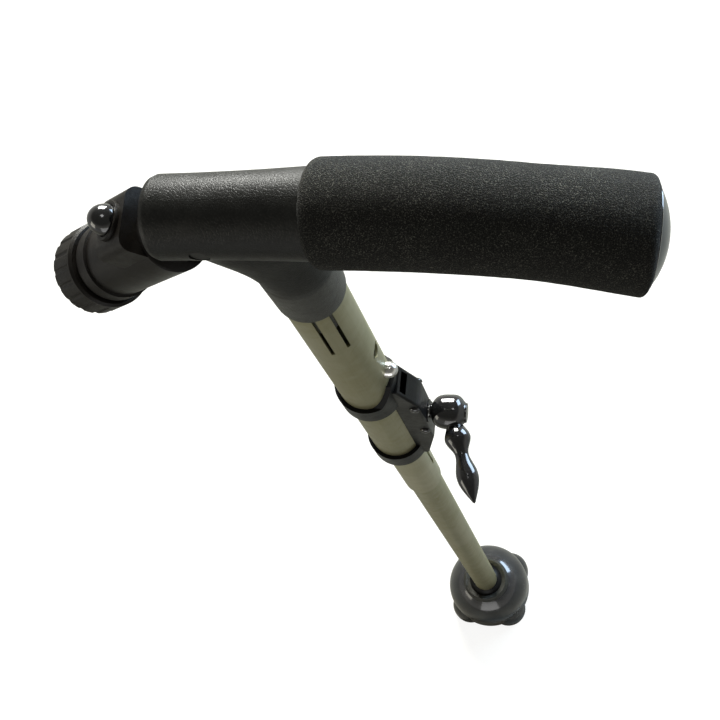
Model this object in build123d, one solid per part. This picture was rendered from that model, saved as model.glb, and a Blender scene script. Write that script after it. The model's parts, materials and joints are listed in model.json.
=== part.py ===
from build123d import *
import math
import os

# Adjustable walking cane with a small four-lobed swivel foot, a lever clamp and a tilting torch.
# Millimetres. Z is up along the shaft, X points back along the grip, the floor is Z = 0.

# ---- clearances ----
SEAT = 0.02            # pieces pressed or glued into each other
RUN = 0.05             # shafts and balls that turn or slide in a bore
FREE = 0.4             # pieces of different bodies that pass each other

# ---- heights along the shaft ----
HANDLE_Z = 890.0       # handle line where it crosses the shaft
SEAM_DROP = 42.0       # handle line to the seam over the collar
COLLAR_DROP = 73.0     # handle line to the collar's lower edge
BUTTON_DROP = 180.0    # handle line to the snap button
HOLE_PITCH = 30.0      # spacing of the index holes
HOLES_ABOVE = 1        # free index holes over the snap button
HOLES_BELOW = 3        # index holes under it, behind the clamp
CLAMP_LENGTH = 105.0   # clamp's top to the outer tube's lower end
SLEEVE_REACH = 97.0    # outer tube's lower end to the sleeve's

# ---- tubes ----
OUTER_R = 12.7
OUTER_WALL = 1.25
INNER_R = 9.525
INNER_WALL = 1.4
INNER_TOP_RISE = 50.0  # inner tube above the snap button
STEM_ABOVE_SEAM = 14.0  # outer tube inside the handle
HOLE_R = 3.75
SLOT_WIDTH = 1.5
SLOT_LENGTHS = (44.0, 42.0)
SLOT_ANGLES = (-80.0, -48.0)

# ---- collar, sleeve and glide ----
COLLAR_R = 14.3
COLLAR_LIP = 0.5
SLEEVE_R = 10.7
SLEEVE_INSIDE = 60.0
SLEEVE_HEAD = 4.0
SLEEVE_TAPER = 14.0
SLEEVE_SLIT = 1.6
SLEEVE_SLIT_LENGTH = 42.0
GLIDE_LENGTH = 16.0
GLIDE_CAP = 2.0

# ---- handle ----
ARCH_R = 225.0         # arch of the grip's centre line
ARCH_APEX_X = 50.0
ARCH_RISE = 4.0
GRIP_START_X = 16.5
GRIP_END_X = 122.0
GRIP_R = 18.0
GRIP_FLARE = 1.4         # extra radius of the grip's bell-shaped rear end
GRIP_FRONT_ROUND = 3.0
GRIP_REAR_ROUND = 3.6
CORE_R = 11.0
HOUSING_R = 14.3
HOUSING_SWELL = 1.0
HOUSING_LENGTH = 55.5
MOUTH_BORE_R = 12.3
MOUTH_DEPTH = 30.5
CHEEK_DROP = 5.5       # housing's line to the lower edge of the mouth's cheeks
NECK_R = 14.1
NECK_REACH = 20.0
PLUG_R = 16.8
PLUG_DOME = 3.0
PLUG_SEAT = 5.0
PLUG_STEM_R = 6.0
PLUG_STEM = 18.0
STEM_WALL = 2.2
STEM_LENGTH = 76.0
HOUSING_SCREW_R = 1.5
HOUSING_SCREW_HEAD_R = 2.9
HOUSING_SCREW_HEAD = 2.0
HOUSING_SCREW_SINK = 1.0    # screw heads below the surface
HOUSING_SCREW_REACH = 7.0   # screw tips past the parting plane
NECK_SCREW_AT = (1.5, 14.5)  # housing screw above the housing's line and ahead of the grip
CORE_SCREWS_AT = (62.0, 92.0)
CROSS_SCREW_R = 2.0

# ---- torch ----
PIVOT_SETBACK = 17.5   # mouth's rim to the torch pivot, along the housing
TORCH_TILT = 36.8      # torch below the line of the housing
KNUCKLE_R = 11.6
KNUCKLE_HALF_WIDTH = 9.0
TORCH_NECK_R = 8.6
TORCH_R = 14.0
TORCH_BORE_R = 13.0
TORCH_BACK = 20.9      # pivot to the rim of the torch body
TORCH_FLOOR = 24.5
TORCH_NOSE = 84.5
HEAD_R = 16.3
HEAD_LENGTH = 14.5
HEAD_RIBS = 18
HEAD_RIB_R = 1.4
HEAD_RIB_DEPTH = 0.5
NECK_GROOVE_DEPTH = 0.3
FLANGE_RISE = 0.6
FLANGE_LENGTH = 6.5
GROOVE_WIDTH = 1.6
SADDLE_TOP = 19.5
SADDLE_HALF_WIDTH = 11.5
SADDLE_ROUND = 4.5
SADDLE_LENGTH = 21.0
SADDLE_BEVEL = 3.4
SWITCH_AT = 30.5
BUTTON_R = 5.6
BUTTON_RING_R = 7.0
BUTTON_RING_RISE = 1.5
BUTTON_RING_SINK = 0.6
BUTTON_SKIRT = 1.6
BUTTON_RISE = 8.0
BUTTON_TRAVEL = 1.2
PIN_R = 2.0
PIN_HEAD_R = 3.5
PIN_HEAD = 1.4
CELL_R = 6.0
CELL_LENGTH = 30.2
CELL_COUNT = 3
LENS_R = 12.4
LENS_THICK = 1.6

# ---- clamp and lever ----
CLAMP_R = 14.7
CLAMP_BELOW = 23.0         # snap button to the clamp's top
RING_HEIGHT = 14.5
PEAK_HEIGHT = 14.0
SPINE_HALF_WIDTH = 6.6
SPINE_X = 22.3
SPINE_ROUND = 1.2
CHANNEL_ROOF = 2.2
CHANNEL_X = 17.9
CHANNEL_HALF_WIDTH = 4.8
LEVER_BELOW = 47.0        # clamp top to the lever's axis
LEVER_SCREW_R = 3.0
LEVER_NECK_R = 3.6
LEVER_HUB_R = 8.4
LEVER_HUB_X = 33.0
LEVER_HUB_HALF = 8.0
LEVER_BOSS = 0.5
LEVER_SPLAY = 19.0
LEVER_LENGTH = 45.5
BAR_WALL = 0.6         # clamp wall between the tube's channel and the bar
BAR_THICK = 2.8
BAR_HALF_WIDTH = 5.2
BAR_LENGTH = 46.0
SIDE_SCREW_R = 1.0
SIDE_SCREW_HEAD_R = 2.4
SIDE_SCREW_HEAD = 1.7
SIDE_SCREW_DROPS = (222.0, 262.0)

# ---- snap button ----
SNAP_R = 3.6
SNAP_TIP_X = 17.6
SNAP_STRIP_HALF = 3.0
SNAP_STRIP_THICK = 0.7
SNAP_LEG_LENGTH = 34.0

# ---- foot ----
LOBES = 4
LOBE_R = 15.0
LOBE_CENTRE_R = 23.0
WAIST_R = 31.0
WAIST_FILLET = 6.0
SOLE_HEIGHT = 7.0
TREAD_DEPTH = 2.5
TREAD_CHANNEL = 5.0
TREAD_HUB_R = 8.0
TREAD_RING_R = 12.0
PAD_RING_R = 7.0
PAD_RING_WIDTH = 1.6
PAD_RING_DEPTH = 1.2
DOME_R = 33.5
DOME_CENTRE_Z = 27.0
DOME_WALL = 3.0
TOE_HEIGHT = 17.0
BALL_Z = 48.0
BALL_R = 16.0
LINER_WALL = 1.3
CUP_WALL = 2.6
MOUTH_ANGLE = 57.0     # half angle of the opening over the ball
LINER_DROP = 9.0       # liner and cup below the ball's centre
CAP_DROP = 21.0
CAP_THICK = 4.0
CAP_R = 27.0
CAP_SCREW_R = 1.6
CAP_SCREW_HEAD_R = 3.0
CAP_SCREW_CIRCLE = 23.2
CAP_SCREW_HEAD = 2.0
CAP_SCREW_REACH = 7.0
BUFFER_R = 12.0
BUFFER_RIM = 3.0
BALLAST_R = 27.0
BALLAST_THICK = 8.0
SOCKET_DEPTH = 12.0

# ---- derived sizes ----
SEAM_Z = HANDLE_Z - SEAM_DROP
COLLAR_Z = HANDLE_Z - COLLAR_DROP
BUTTON_Z = HANDLE_Z - BUTTON_DROP
CLAMP_TOP_Z = BUTTON_Z - CLAMP_BELOW
TUBE_END_Z = CLAMP_TOP_Z - CLAMP_LENGTH
SLEEVE_END_Z = TUBE_END_Z - SLEEVE_REACH
OUTER_BORE = OUTER_R - OUTER_WALL
INNER_BORE = INNER_R - INNER_WALL
TUBE_TOP_Z = SEAM_Z + STEM_ABOVE_SEAM
INNER_TOP_Z = BUTTON_Z + INNER_TOP_RISE
STEM_R = OUTER_BORE - SEAT
STEM_TOP_Z = TUBE_TOP_Z + 12.0
STEM_BOTTOM_Z = STEM_TOP_Z - STEM_LENGTH
ARCH_CENTRE_Z = HANDLE_Z + ARCH_RISE - ARCH_R
LEVER_Z = CLAMP_TOP_Z - LEVER_BELOW
RING_LOW_TOP_Z = TUBE_END_Z + RING_HEIGHT - SLEEVE_HEAD
CLAMP_END_Z = RING_LOW_TOP_Z - RING_HEIGHT
LINER_R = BALL_R + RUN + LINER_WALL
CUP_BORE = LINER_R + RUN
CUP_R = CUP_BORE + CUP_WALL
INNER_END_Z = BALL_Z + BALL_R - SOCKET_DEPTH
CAP_TOP_Z = BALL_Z - CAP_DROP
LEVER_BASE_X = SPINE_X + LEVER_BOSS + FREE
BAR_X = CHANNEL_X + BAR_WALL
KNUCKLE_BORE = PIN_R + RUN


def cyl(radius, low, high, x=0.0, y=0.0):
    """Upright cylinder from one height to another."""
    return Pos(x, y, (low + high) / 2) * Cylinder(radius, high - low)


def pipe(outer, inner, low, high):
    """Upright tube on the shaft's axis."""
    return cyl(outer, low, high) - cyl(inner, low - 1, high + 1)


def block(x0, x1, y0, y1, z0, z1):
    """Box from its lowest to its highest corner."""
    return Pos((x0 + x1) / 2, (y0 + y1) / 2, (z0 + z1) / 2) * Box(x1 - x0, y1 - y0, z1 - z0)


def rod(radius, start, end):
    """Cylinder between two points."""
    a, b = Vector(*start), Vector(*end)
    plane = Plane(origin=a, z_dir=b - a)
    return extrude(plane * Circle(radius), (b - a).length)


def lathe(points, plane=Plane.XZ, axis=Axis.Z):
    """Solid of revolution about an axis from a closed outline."""
    return revolve(plane * make_face(Polyline(*points, close=True)), axis)


# ---- the arched handle line ----

def arch_angle(x):
    """Angle along the arch, in degrees, at a distance along the grip."""
    return math.degrees(math.asin((x - ARCH_APEX_X) / ARCH_R))


def arch_frame(x):
    """Section plane of the grip at a distance along it, facing backwards."""
    angle = math.radians(arch_angle(x))
    origin = (x, 0, ARCH_CENTRE_Z + ARCH_R * math.cos(angle))
    return Plane(origin=origin, x_dir=(0, 1, 0), z_dir=(math.cos(angle), 0, -math.sin(angle)))


def arch_bar(radius, x0, x1):
    """Round bar that follows the arch from one place to another."""
    start = arch_frame(x0) * Rot(0, 0, 45)
    turn = arch_angle(x1) - arch_angle(x0)
    axis = Axis((ARCH_APEX_X, 0, ARCH_CENTRE_Z), (0, 1, 0))
    return revolve(start * Circle(radius), axis, turn)


def housing_plane():
    """Frame of the straight housing: Z forwards along it, X up, Y across."""
    angle = math.radians(arch_angle(GRIP_START_X))
    origin = arch_frame(GRIP_START_X).origin
    forward = (-math.cos(angle), 0, math.sin(angle))
    up = (math.sin(angle), 0, math.cos(angle))
    return Plane(origin=origin, x_dir=up, z_dir=forward)


HOUSING = housing_plane()


def torch_plane():
    """Frame of the torch: Z forwards from the pivot, X out through the switch."""
    pivot = HOUSING.from_local_coords(Vector(0, 0, HOUSING_LENGTH - PIVOT_SETBACK))
    tilt = math.radians(TORCH_TILT)
    forward = HOUSING.z_dir * math.cos(tilt) - HOUSING.x_dir * math.sin(tilt)
    up = HOUSING.z_dir * math.sin(tilt) + HOUSING.x_dir * math.cos(tilt)
    return Plane(origin=pivot, x_dir=up, z_dir=forward)


TORCH = torch_plane()


def at(plane, solid):
    """Move a solid from the origin's frame to a plane's frame."""
    return plane.location * solid


# ---- handle ----

def housing_body():
    """Housing with its neck and the core through the grip, before it is hollowed."""
    length = HOUSING_LENGTH
    wide = HOUSING_R + HOUSING_SWELL
    flank = Spline((wide, SEAT), (HOUSING_R + 0.2, 0.45 * length), (HOUSING_R, length - 2))
    rest = Polyline((HOUSING_R, length - 2), (HOUSING_R - 0.8, length), (0, length), (0, SEAT), (wide, SEAT))
    barrel = revolve(Plane.XZ * make_face(flank + rest), Axis.Z)
    grip_space = Pos(0, 0, SEAT - 20) * Cylinder(GRIP_R + 3, 40)
    body = at(HOUSING, barrel) + neck_body()
    body -= at(HOUSING, grip_space)
    return body + (arch_bar(CORE_R, GRIP_START_X - 3, GRIP_END_X - 3) - plug_rim(SEAT))


def neck_body():
    """Neck lofted from the round seam up into the underside of the housing."""
    levels = [
        (0.0, NECK_R, NECK_R, 0.0),
        (12.0, NECK_R + 1.7, NECK_R + 0.05, -1.7),
        (22.0, NECK_REACH - 0.2, NECK_R + 0.1, -5.3),
        (31.0, NECK_REACH + 5.4, NECK_R + 0.1, -9.6),
        (39.0, NECK_REACH + 9.0, NECK_R - 1.2, -12.6),
    ]
    return loft([Pos(shift, 0, SEAM_Z + rise) * Ellipse(reach, wide) for rise, reach, wide, shift in levels])


def housing_hollows():
    """Mouth for the torch knuckle, its lower cutaway and the socket for the tube."""
    mouth_floor = HOUSING_LENGTH - MOUTH_DEPTH
    ahead = HOUSING_LENGTH + NECK_REACH
    bore = Pos(0, 0, (mouth_floor + ahead) / 2)
    mouth = at(HOUSING, bore * Cylinder(MOUTH_BORE_R, ahead - mouth_floor))
    low = -HOUSING_R - 12
    behind = mouth_floor + 11
    under = CHEEK_DROP + 6.5
    side = [(-CHEEK_DROP, ahead), (-CHEEK_DROP, HOUSING_LENGTH - 5), (-under, behind), (low, behind),
            (low, ahead)]
    wedge = extrude(Plane.XZ * make_face(Polyline(*side, close=True)), 40, both=True)
    socket = cyl(OUTER_R + SEAT, SEAM_Z - 1, TUBE_TOP_Z)
    stem = cyl(STEM_R + SEAT, SEAM_Z, STEM_TOP_Z)
    plug = arch_bar(PLUG_STEM_R + SEAT, GRIP_END_X - PLUG_SEAT - PLUG_STEM, GRIP_END_X)
    return [mouth, at(HOUSING, wedge), socket, stem, plug]


def housing_screw_places():
    """Centres of the screws that join the handle halves."""
    above, ahead = NECK_SCREW_AT
    deep = HOUSING.from_local_coords(Vector(above, 0, ahead))
    core = [arch_frame(x).origin for x in CORE_SCREWS_AT]
    return [(deep.X, deep.Z, HOUSING_R)] + [(spot.X, spot.Z, CORE_R) for spot in core]


def housing_screws(clearance=0.0):
    """Screws across the handle, heads on the left side, tips in the right half."""
    screws = []
    for x, z, reach in housing_screw_places():
        under = reach - HOUSING_SCREW_SINK - HOUSING_SCREW_HEAD
        outside = reach - HOUSING_SCREW_SINK + (30 if clearance else 0)
        shank = rod(HOUSING_SCREW_R + clearance, (x, -HOUSING_SCREW_REACH - clearance, z), (x, under, z))
        head = rod(HOUSING_SCREW_HEAD_R + clearance, (x, under - clearance, z), (x, outside, z))
        screws.append(shank + head)
    return screws


def pivot_pin(clearance=0.0):
    """Headed pin across the mouth that the torch turns on."""
    pivot = TORCH.origin
    end = HOUSING_R - 2.0
    shank = rod(PIN_R + clearance, (pivot.X, -HOUSING_R + 1, pivot.Z), (pivot.X, end + clearance, pivot.Z))
    reach = HOUSING_R - 0.45 + (20 if clearance else 0)
    seat = -HOUSING_R + 0.4 + PIN_HEAD
    head = rod(PIN_HEAD_R + clearance, (pivot.X, -reach, pivot.Z), (pivot.X, seat, pivot.Z))
    return shank + head


def cross_screw(clearance=0.0):
    """Screw through the handle's neck and the stem insert."""
    z = (TUBE_TOP_Z + STEM_TOP_Z) / 2
    return rod(CROSS_SCREW_R + clearance, (0, -NECK_R + 2.5, z), (0, NECK_R - 4 + clearance, z))


def handle_shells():
    """Left and right halves, split on the centre plane."""
    body = housing_body()
    for hollow in housing_hollows() + housing_screws(SEAT) + [pivot_pin(SEAT), cross_screw(SEAT)]:
        body -= hollow
    right_side = block(-150, 200, -60, 0, SEAM_Z - 5, HANDLE_Z + 60)
    left_side = block(-150, 200, 0, 60, SEAM_Z - 5, HANDLE_Z + 60)
    return {"handle_shell_left": body - right_side, "handle_shell_right": body - left_side}


def foam_grip():
    """Foam tube over the core, with rounded ends and a bell-shaped rear end."""
    span = GRIP_END_X - GRIP_START_X
    stations = [(0.0, 0.0), (0.3, 0.1), (0.6, 0.0), (0.8, 0.3), (0.93, 0.9), (1.0, 1.0)]
    rings = []
    for way, share in stations:
        rings.append(arch_frame(GRIP_START_X + span * way) * Circle(GRIP_R + GRIP_FLARE * share))
    foam = loft(rings)
    ends = foam.faces().filter_by(GeomType.PLANE).sort_by(Axis.X)
    foam = fillet(ends[0].edges(), GRIP_FRONT_ROUND)
    rear = foam.faces().filter_by(GeomType.PLANE).sort_by(Axis.X)[-1]
    foam = fillet(rear.edges(), GRIP_REAR_ROUND - GRIP_FLARE / 2)
    return foam - arch_bar(CORE_R + SEAT, GRIP_START_X - 2, GRIP_END_X - 3) - plug_rim(SEAT)


def plug_rim(clearance=0.0):
    """Disc of the end plug that sits in the foam's rear face."""
    depth = PLUG_SEAT + clearance
    middle = Pos(0, 0, (PLUG_DOME - depth) / 2)
    return at(arch_frame(GRIP_END_X), middle * Cylinder(PLUG_R + clearance, depth + PLUG_DOME))


def end_plug():
    """Domed plug whose stem is pressed into the core."""
    bulge = (PLUG_R ** 2 + PLUG_DOME ** 2) / (2 * PLUG_DOME)
    body = plug_rim() & at(arch_frame(GRIP_END_X), Pos(0, 0, PLUG_DOME - bulge) * Sphere(bulge))
    return body + arch_bar(PLUG_STEM_R, GRIP_END_X - PLUG_SEAT - PLUG_STEM + 1, GRIP_END_X - 3)


def stem_insert():
    """Tube that joins the handle's neck to the outer tube."""
    stem = pipe(STEM_R, STEM_R - STEM_WALL, STEM_BOTTOM_Z, STEM_TOP_Z)
    return stem - cross_screw(SEAT)


# ---- torch ----

def torch_body():
    """Torch barrel with its knuckle, switch saddle and the grooves behind the head."""
    head_start = TORCH_NOSE - HEAD_LENGTH
    groove = head_start - GROOVE_WIDTH
    flange = groove - FLANGE_LENGTH
    dip = TORCH_R - NECK_GROOVE_DEPTH
    outline = [
        (0, 6.0), (TORCH_NECK_R, 6.0), (TORCH_NECK_R, 13.0), (TORCH_R - 3.0, TORCH_BACK - 0.9),
        (TORCH_R - 0.6, TORCH_BACK), (TORCH_R, TORCH_BACK + 0.7), (TORCH_R - 0.3, flange - GROOVE_WIDTH),
        (dip, flange - GROOVE_WIDTH + 0.3), (dip, flange - 0.3),
        (TORCH_R + FLANGE_RISE, flange), (TORCH_R + FLANGE_RISE, groove - 0.8), (TORCH_R - 0.2, groove),
        (TORCH_BORE_R + 0.7, groove), (TORCH_BORE_R + 0.7, TORCH_NOSE - 4), (0, TORCH_NOSE - 4),
    ]
    body = lathe(outline)
    width = 2 * KNUCKLE_HALF_WIDTH
    body += Sphere(KNUCKLE_R) & Box(60, width, 60)
    body += switch_saddle()
    body -= Pos(0, 0, (TORCH_FLOOR + TORCH_NOSE) / 2) * Cylinder(TORCH_BORE_R, TORCH_NOSE - TORCH_FLOOR)
    body -= Rot(90, 0, 0) * Cylinder(KNUCKLE_BORE, 60)
    body -= switch_pocket()
    return at(TORCH, body)


def switch_saddle():
    """Raised flat-topped saddle on the upper side that holds the switch."""
    low, high = TORCH_BACK + 0.6, TORCH_BACK + 0.6 + SADDLE_LENGTH
    profile = Rectangle(2 * SADDLE_TOP, 2 * SADDLE_HALF_WIDTH)
    profile = fillet(profile.vertices(), SADDLE_ROUND)
    saddle = extrude(Plane.XY.offset(low) * profile, high - low)
    saddle &= block(4, 40, -40, 40, low - 1, high + 1)
    front = saddle.faces().filter_by(Plane.XY).sort_by(Axis.Z)[-1]
    return chamfer(front.edges().sort_by(Axis.X)[-1:], SADDLE_BEVEL)


def on_switch(solid):
    """Move a solid from the origin to the saddle's flat, Z outwards."""
    return Pos(SADDLE_TOP, 0, SWITCH_AT) * Rot(0, 90, 0) * solid


def switch_pocket():
    """Bore for the button, ring seat and the square pocket for the switch under them."""
    depth = BUTTON_SKIRT + BUTTON_TRAVEL + FREE
    bore = on_switch(cyl(BUTTON_R + RUN, -depth, 5))
    ring = on_switch(cyl(BUTTON_RING_R + SEAT, -BUTTON_RING_SINK, 5))
    pocket = block(TORCH_BORE_R - 2, SADDLE_TOP - depth + 1, -3.6, 3.6, SWITCH_AT - 3.6, SWITCH_AT + 3.6)
    return bore + ring + pocket


def torch_button():
    """Domed push button that stands out of the saddle."""
    base = BUTTON_RING_RISE
    tall = BUTTON_RISE - base
    bulge = (BUTTON_R ** 2 + tall ** 2) / (2 * tall)
    dome = Pos(0, 0, BUTTON_RISE - bulge) * Sphere(bulge) & cyl(BUTTON_R, base, BUTTON_RISE + 1)
    return at(TORCH, on_switch(dome + cyl(BUTTON_R, -BUTTON_SKIRT, base)))


def torch_button_ring():
    """Ring set round the button, standing proud of the saddle."""
    ring = pipe(BUTTON_RING_R, BUTTON_R + RUN, SEAT - BUTTON_RING_SINK, BUTTON_RING_RISE)
    return at(TORCH, on_switch(ring))


def torch_switch():
    """Switch block under the button, on the wall of the barrel."""
    top = SADDLE_TOP - BUTTON_SKIRT - BUTTON_TRAVEL - FREE
    body = block(TORCH_BORE_R + 0.1, top, -3.3, 3.3, SWITCH_AT - 3.3, SWITCH_AT + 3.3)
    return at(TORCH, body)


def torch_head():
    """Scalloped head ring screwed over the barrel's end, with a lip round the lens."""
    low = TORCH_NOSE - HEAD_LENGTH
    bore = TORCH_BORE_R + 0.7 + SEAT
    outline = [
        (bore, low), (HEAD_R - 1.0, low), (HEAD_R, low + 1.0), (HEAD_R, TORCH_NOSE - 1.2),
        (HEAD_R - 1.2, TORCH_NOSE), (LENS_R - 1.2, TORCH_NOSE), (LENS_R - 1.2, TORCH_NOSE - 2.2),
        (bore, TORCH_NOSE - 2.2),
    ]
    ring = lathe(outline)
    for turn in range(HEAD_RIBS):
        angle = 2 * math.pi * turn / HEAD_RIBS
        reach = HEAD_R + HEAD_RIB_R - HEAD_RIB_DEPTH
        x, y = reach * math.cos(angle), reach * math.sin(angle)
        ring -= cyl(HEAD_RIB_R, low + 2.0, TORCH_NOSE + 1, x, y)
    return at(TORCH, ring)


def torch_optics():
    """Lens, reflector, LED and its board inside the head."""
    lens = cyl(LENS_R, TORCH_NOSE - 2.2 - LENS_THICK, TORCH_NOSE - 2.2 - SEAT)
    back, front = TORCH_NOSE - 15.0, TORCH_NOSE - 4.0
    bowl = [(2.4, back), (3.4, back), (7.5, back + 3.2), (10.6, back + 7.4), (12.2, front),
            (11.4, front), (9.9, back + 7.6), (6.9, back + 3.8), (2.4, back + 0.9)]
    reflector = lathe(bowl)
    rim = pipe(TORCH_BORE_R - SEAT, 11.4, front - 1.0, front)
    board = cyl(TORCH_BORE_R - SEAT, back - 2.6, back - 1.0)
    led = cyl(2.2, back - 1.0, back + 0.6) + Pos(0, 0, back + 0.6) * Sphere(1.5)
    return {
        "torch_lens": at(TORCH, lens),
        "torch_reflector": at(TORCH, reflector + rim),
        "torch_led_board": at(TORCH, board),
        "torch_led": at(TORCH, led),
    }


def torch_power():
    """Three cells side by side between two contact plates."""
    low = TORCH_FLOOR + 2.6
    circle = (CELL_R + SEAT) / math.sin(math.pi / CELL_COUNT)
    cells, springs = [], []
    for turn in range(CELL_COUNT):
        angle = 2 * math.pi * turn / CELL_COUNT + math.pi / CELL_COUNT
        x, y = circle * math.cos(angle), circle * math.sin(angle)
        cells.append(cyl(CELL_R, low, low + CELL_LENGTH, x, y))
        cells.append(cyl(2.0, low + CELL_LENGTH, low + CELL_LENGTH + 1.0, x, y))
        springs.append(cyl(3.0, low - 1.6, low, x, y) - cyl(2.2, low - 2, low + 1, x, y))
    joined = [cells[i] + cells[i + 1] for i in range(0, len(cells), 2)]
    rear = cyl(TORCH_BORE_R - SEAT, TORCH_FLOOR, low - 1.6)
    front = cyl(TORCH_BORE_R - SEAT, low + CELL_LENGTH + 1.0, low + CELL_LENGTH + 2.2)
    rear_plate = rear + springs
    return {
        "torch_cells": Compound([at(TORCH, cell) for cell in joined]),
        "torch_contact_rear": at(TORCH, rear_plate),
        "torch_contact_front": at(TORCH, front),
    }


# ---- upper shaft ----

def hole_heights():
    """Heights of the index holes in the outer tube."""
    return [BUTTON_Z + HOLE_PITCH * step for step in range(-HOLES_BELOW, HOLES_ABOVE + 1)]


def outer_tube():
    """Outer tube with its index holes, top slots and the lever screw's hole."""
    tube = pipe(OUTER_R, OUTER_BORE, TUBE_END_Z, TUBE_TOP_Z)
    for z in hole_heights():
        tube -= rod(HOLE_R, (OUTER_BORE - 4, 0, z), (OUTER_R + 4, 0, z))
    tube -= rod(LEVER_SCREW_R + FREE, (OUTER_BORE - 4, 0, LEVER_Z), (OUTER_R + 4, 0, LEVER_Z))
    for angle, length in zip(SLOT_ANGLES, SLOT_LENGTHS):
        half = SLOT_WIDTH / 2
        slot = block(OUTER_BORE - 3, OUTER_R + 3, -half, half, COLLAR_Z - length, COLLAR_Z + 4)
        tube -= Rot(0, 0, angle) * slot
    return tube


def collar():
    """Ring under the handle, tapering down to a lip on the tube."""
    bore = OUTER_R + SEAT
    outline = [
        (bore, COLLAR_Z), (COLLAR_R - COLLAR_LIP - 0.6, COLLAR_Z), (COLLAR_R - COLLAR_LIP, COLLAR_Z + 0.8),
        (COLLAR_R, SEAM_Z - 3), (COLLAR_R - 0.5, SEAM_Z - SEAT), (bore, SEAM_Z - SEAT),
    ]
    return lathe(outline)


def reducer_sleeve():
    """Stepped sleeve between the outer and the inner tube, slit at the back."""
    bore = INNER_R + RUN
    head = OUTER_R
    step = TUBE_END_Z - SEAT
    inside = TUBE_END_Z + SLEEVE_INSIDE / 2
    outline = [
        (bore, SLEEVE_END_Z), (SLEEVE_R - 0.5, SLEEVE_END_Z), (SLEEVE_R, SLEEVE_END_Z + 1.0),
        (SLEEVE_R, step - SLEEVE_HEAD - SLEEVE_TAPER), (head, step - SLEEVE_HEAD), (head, step),
        (STEM_R, step), (STEM_R, inside), (STEM_R - 0.3, inside + 0.3), (bore, inside + 0.3),
    ]
    sleeve = lathe(outline)
    slit_top = step - SLEEVE_HEAD - SLEEVE_TAPER
    sleeve -= block(5, 20, -SLEEVE_SLIT / 2, SLEEVE_SLIT / 2, slit_top - SLEEVE_SLIT_LENGTH, slit_top)
    return sleeve


def clamp_body():
    """Two rings joined by a hollow spine, with a peak that points up at the snap button."""
    bore = OUTER_R + SEAT
    top = CLAMP_TOP_Z
    body = peaked_ring() + cyl(CLAMP_R, CLAMP_END_Z, RING_LOW_TOP_Z)
    crest = top + 0.5 * PEAK_HEIGHT
    shoulder = Spline((SPINE_X, top - 21), (SPINE_X - 0.7, top - 13), (19.2, top - 5), (15.4, crest),
                      tangents=((0, 1), (-0.3, 1)))
    side = Polyline((15.4, crest), (8.0, crest), (8.0, CLAMP_END_Z + 0.6), (16.0, CLAMP_END_Z + 0.6),
                    (SPINE_X - 1.5, CLAMP_END_Z + 26), (SPINE_X, CLAMP_END_Z + 34), (SPINE_X, top - 21))
    spine = extrude(Plane.XZ * make_face(shoulder + side), SPINE_HALF_WIDTH, both=True)
    body += fillet(spine.edges().filter_by(is_spine_edge), SPINE_ROUND)
    body += rod(LEVER_NECK_R + 2.0, (CHANNEL_X + 1, 0, LEVER_Z), (LEVER_BASE_X - FREE, 0, LEVER_Z))
    body -= cyl(bore, CLAMP_END_Z - 1, top + 30)
    half = CHANNEL_HALF_WIDTH
    body -= block(5, CHANNEL_X, -half, half, RING_LOW_TOP_Z + 0.8, crest - CHANNEL_ROOF)
    body -= bar_block(SEAT)
    body -= rod(LEVER_SCREW_R + RUN, (12, 0, LEVER_Z), (30, 0, LEVER_Z))
    for screw in clamp_side_screws(SEAT):
        body -= screw
    return body


def is_spine_edge(edge):
    """Whether an edge of the spine lies along its outer back corners."""
    middle = edge.center()
    return abs(abs(middle.Y) - SPINE_HALF_WIDTH) < 0.01 and middle.X > 17


def peaked_ring():
    """Blank of the upper ring, cut off level in front and to a peak at the back."""
    top = CLAMP_TOP_Z
    high = top + PEAK_HEIGHT
    wide, narrow, reach = OUTER_R - 0.5, 5.6, CLAMP_R + 5
    roof = [(-reach, top), (-wide, top), (-narrow, high), (narrow, high), (wide, top), (reach, top),
            (reach, high + 5), (-reach, high + 5)]
    over_back = Pos(3, 0, 0) * extrude(Plane.YZ * make_face(Polyline(*roof, close=True)), 40)
    over_front = block(-reach, 3, -reach, reach, top, high + 5)
    return cyl(CLAMP_R, top - RING_HEIGHT, high + 2) - over_back - over_front


def bar_block(clearance=0.0):
    """Outline block of the metal bar, with any clearance round it."""
    x0, x1 = BAR_X - clearance, BAR_X + BAR_THICK + clearance
    middle = HANDLE_Z - sum(SIDE_SCREW_DROPS) / 2
    side, tall = BAR_HALF_WIDTH + clearance, BAR_LENGTH / 2 + clearance
    return block(x0, x1, -side, side, middle - tall, middle + tall)


def clamp_bar():
    """Threaded metal bar inside the spine."""
    bar = bar_block()
    bar -= rod(LEVER_SCREW_R + RUN, (12, 0, LEVER_Z), (30, 0, LEVER_Z))
    for screw in clamp_side_screws(SEAT):
        bar -= screw
    return bar


def clamp_side_screws(clearance=0.0):
    """Domed screws that hold the bar from both sides of the spine."""
    x = BAR_X + BAR_THICK / 2
    screws = []
    for drop in SIDE_SCREW_DROPS:
        for side in (-1, 1):
            z = HANDLE_Z - drop
            inner = side * (BAR_HALF_WIDTH - 2.4 - clearance)
            face = side * SPINE_HALF_WIDTH
            shank = rod(SIDE_SCREW_R + clearance, (x, inner, z), (x, face, z))
            if clearance:
                screws.append(shank)
                continue
            bulge = (SIDE_SCREW_HEAD_R ** 2 + SIDE_SCREW_HEAD ** 2) / (2 * SIDE_SCREW_HEAD)
            ball = Pos(x, face - side * (bulge - SIDE_SCREW_HEAD), z) * Sphere(bulge)
            head = ball & rod(SIDE_SCREW_HEAD_R, (x, face, z), (x, face + side * SIDE_SCREW_HEAD, z))
            screws.append(shank + head)
    return screws


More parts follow.
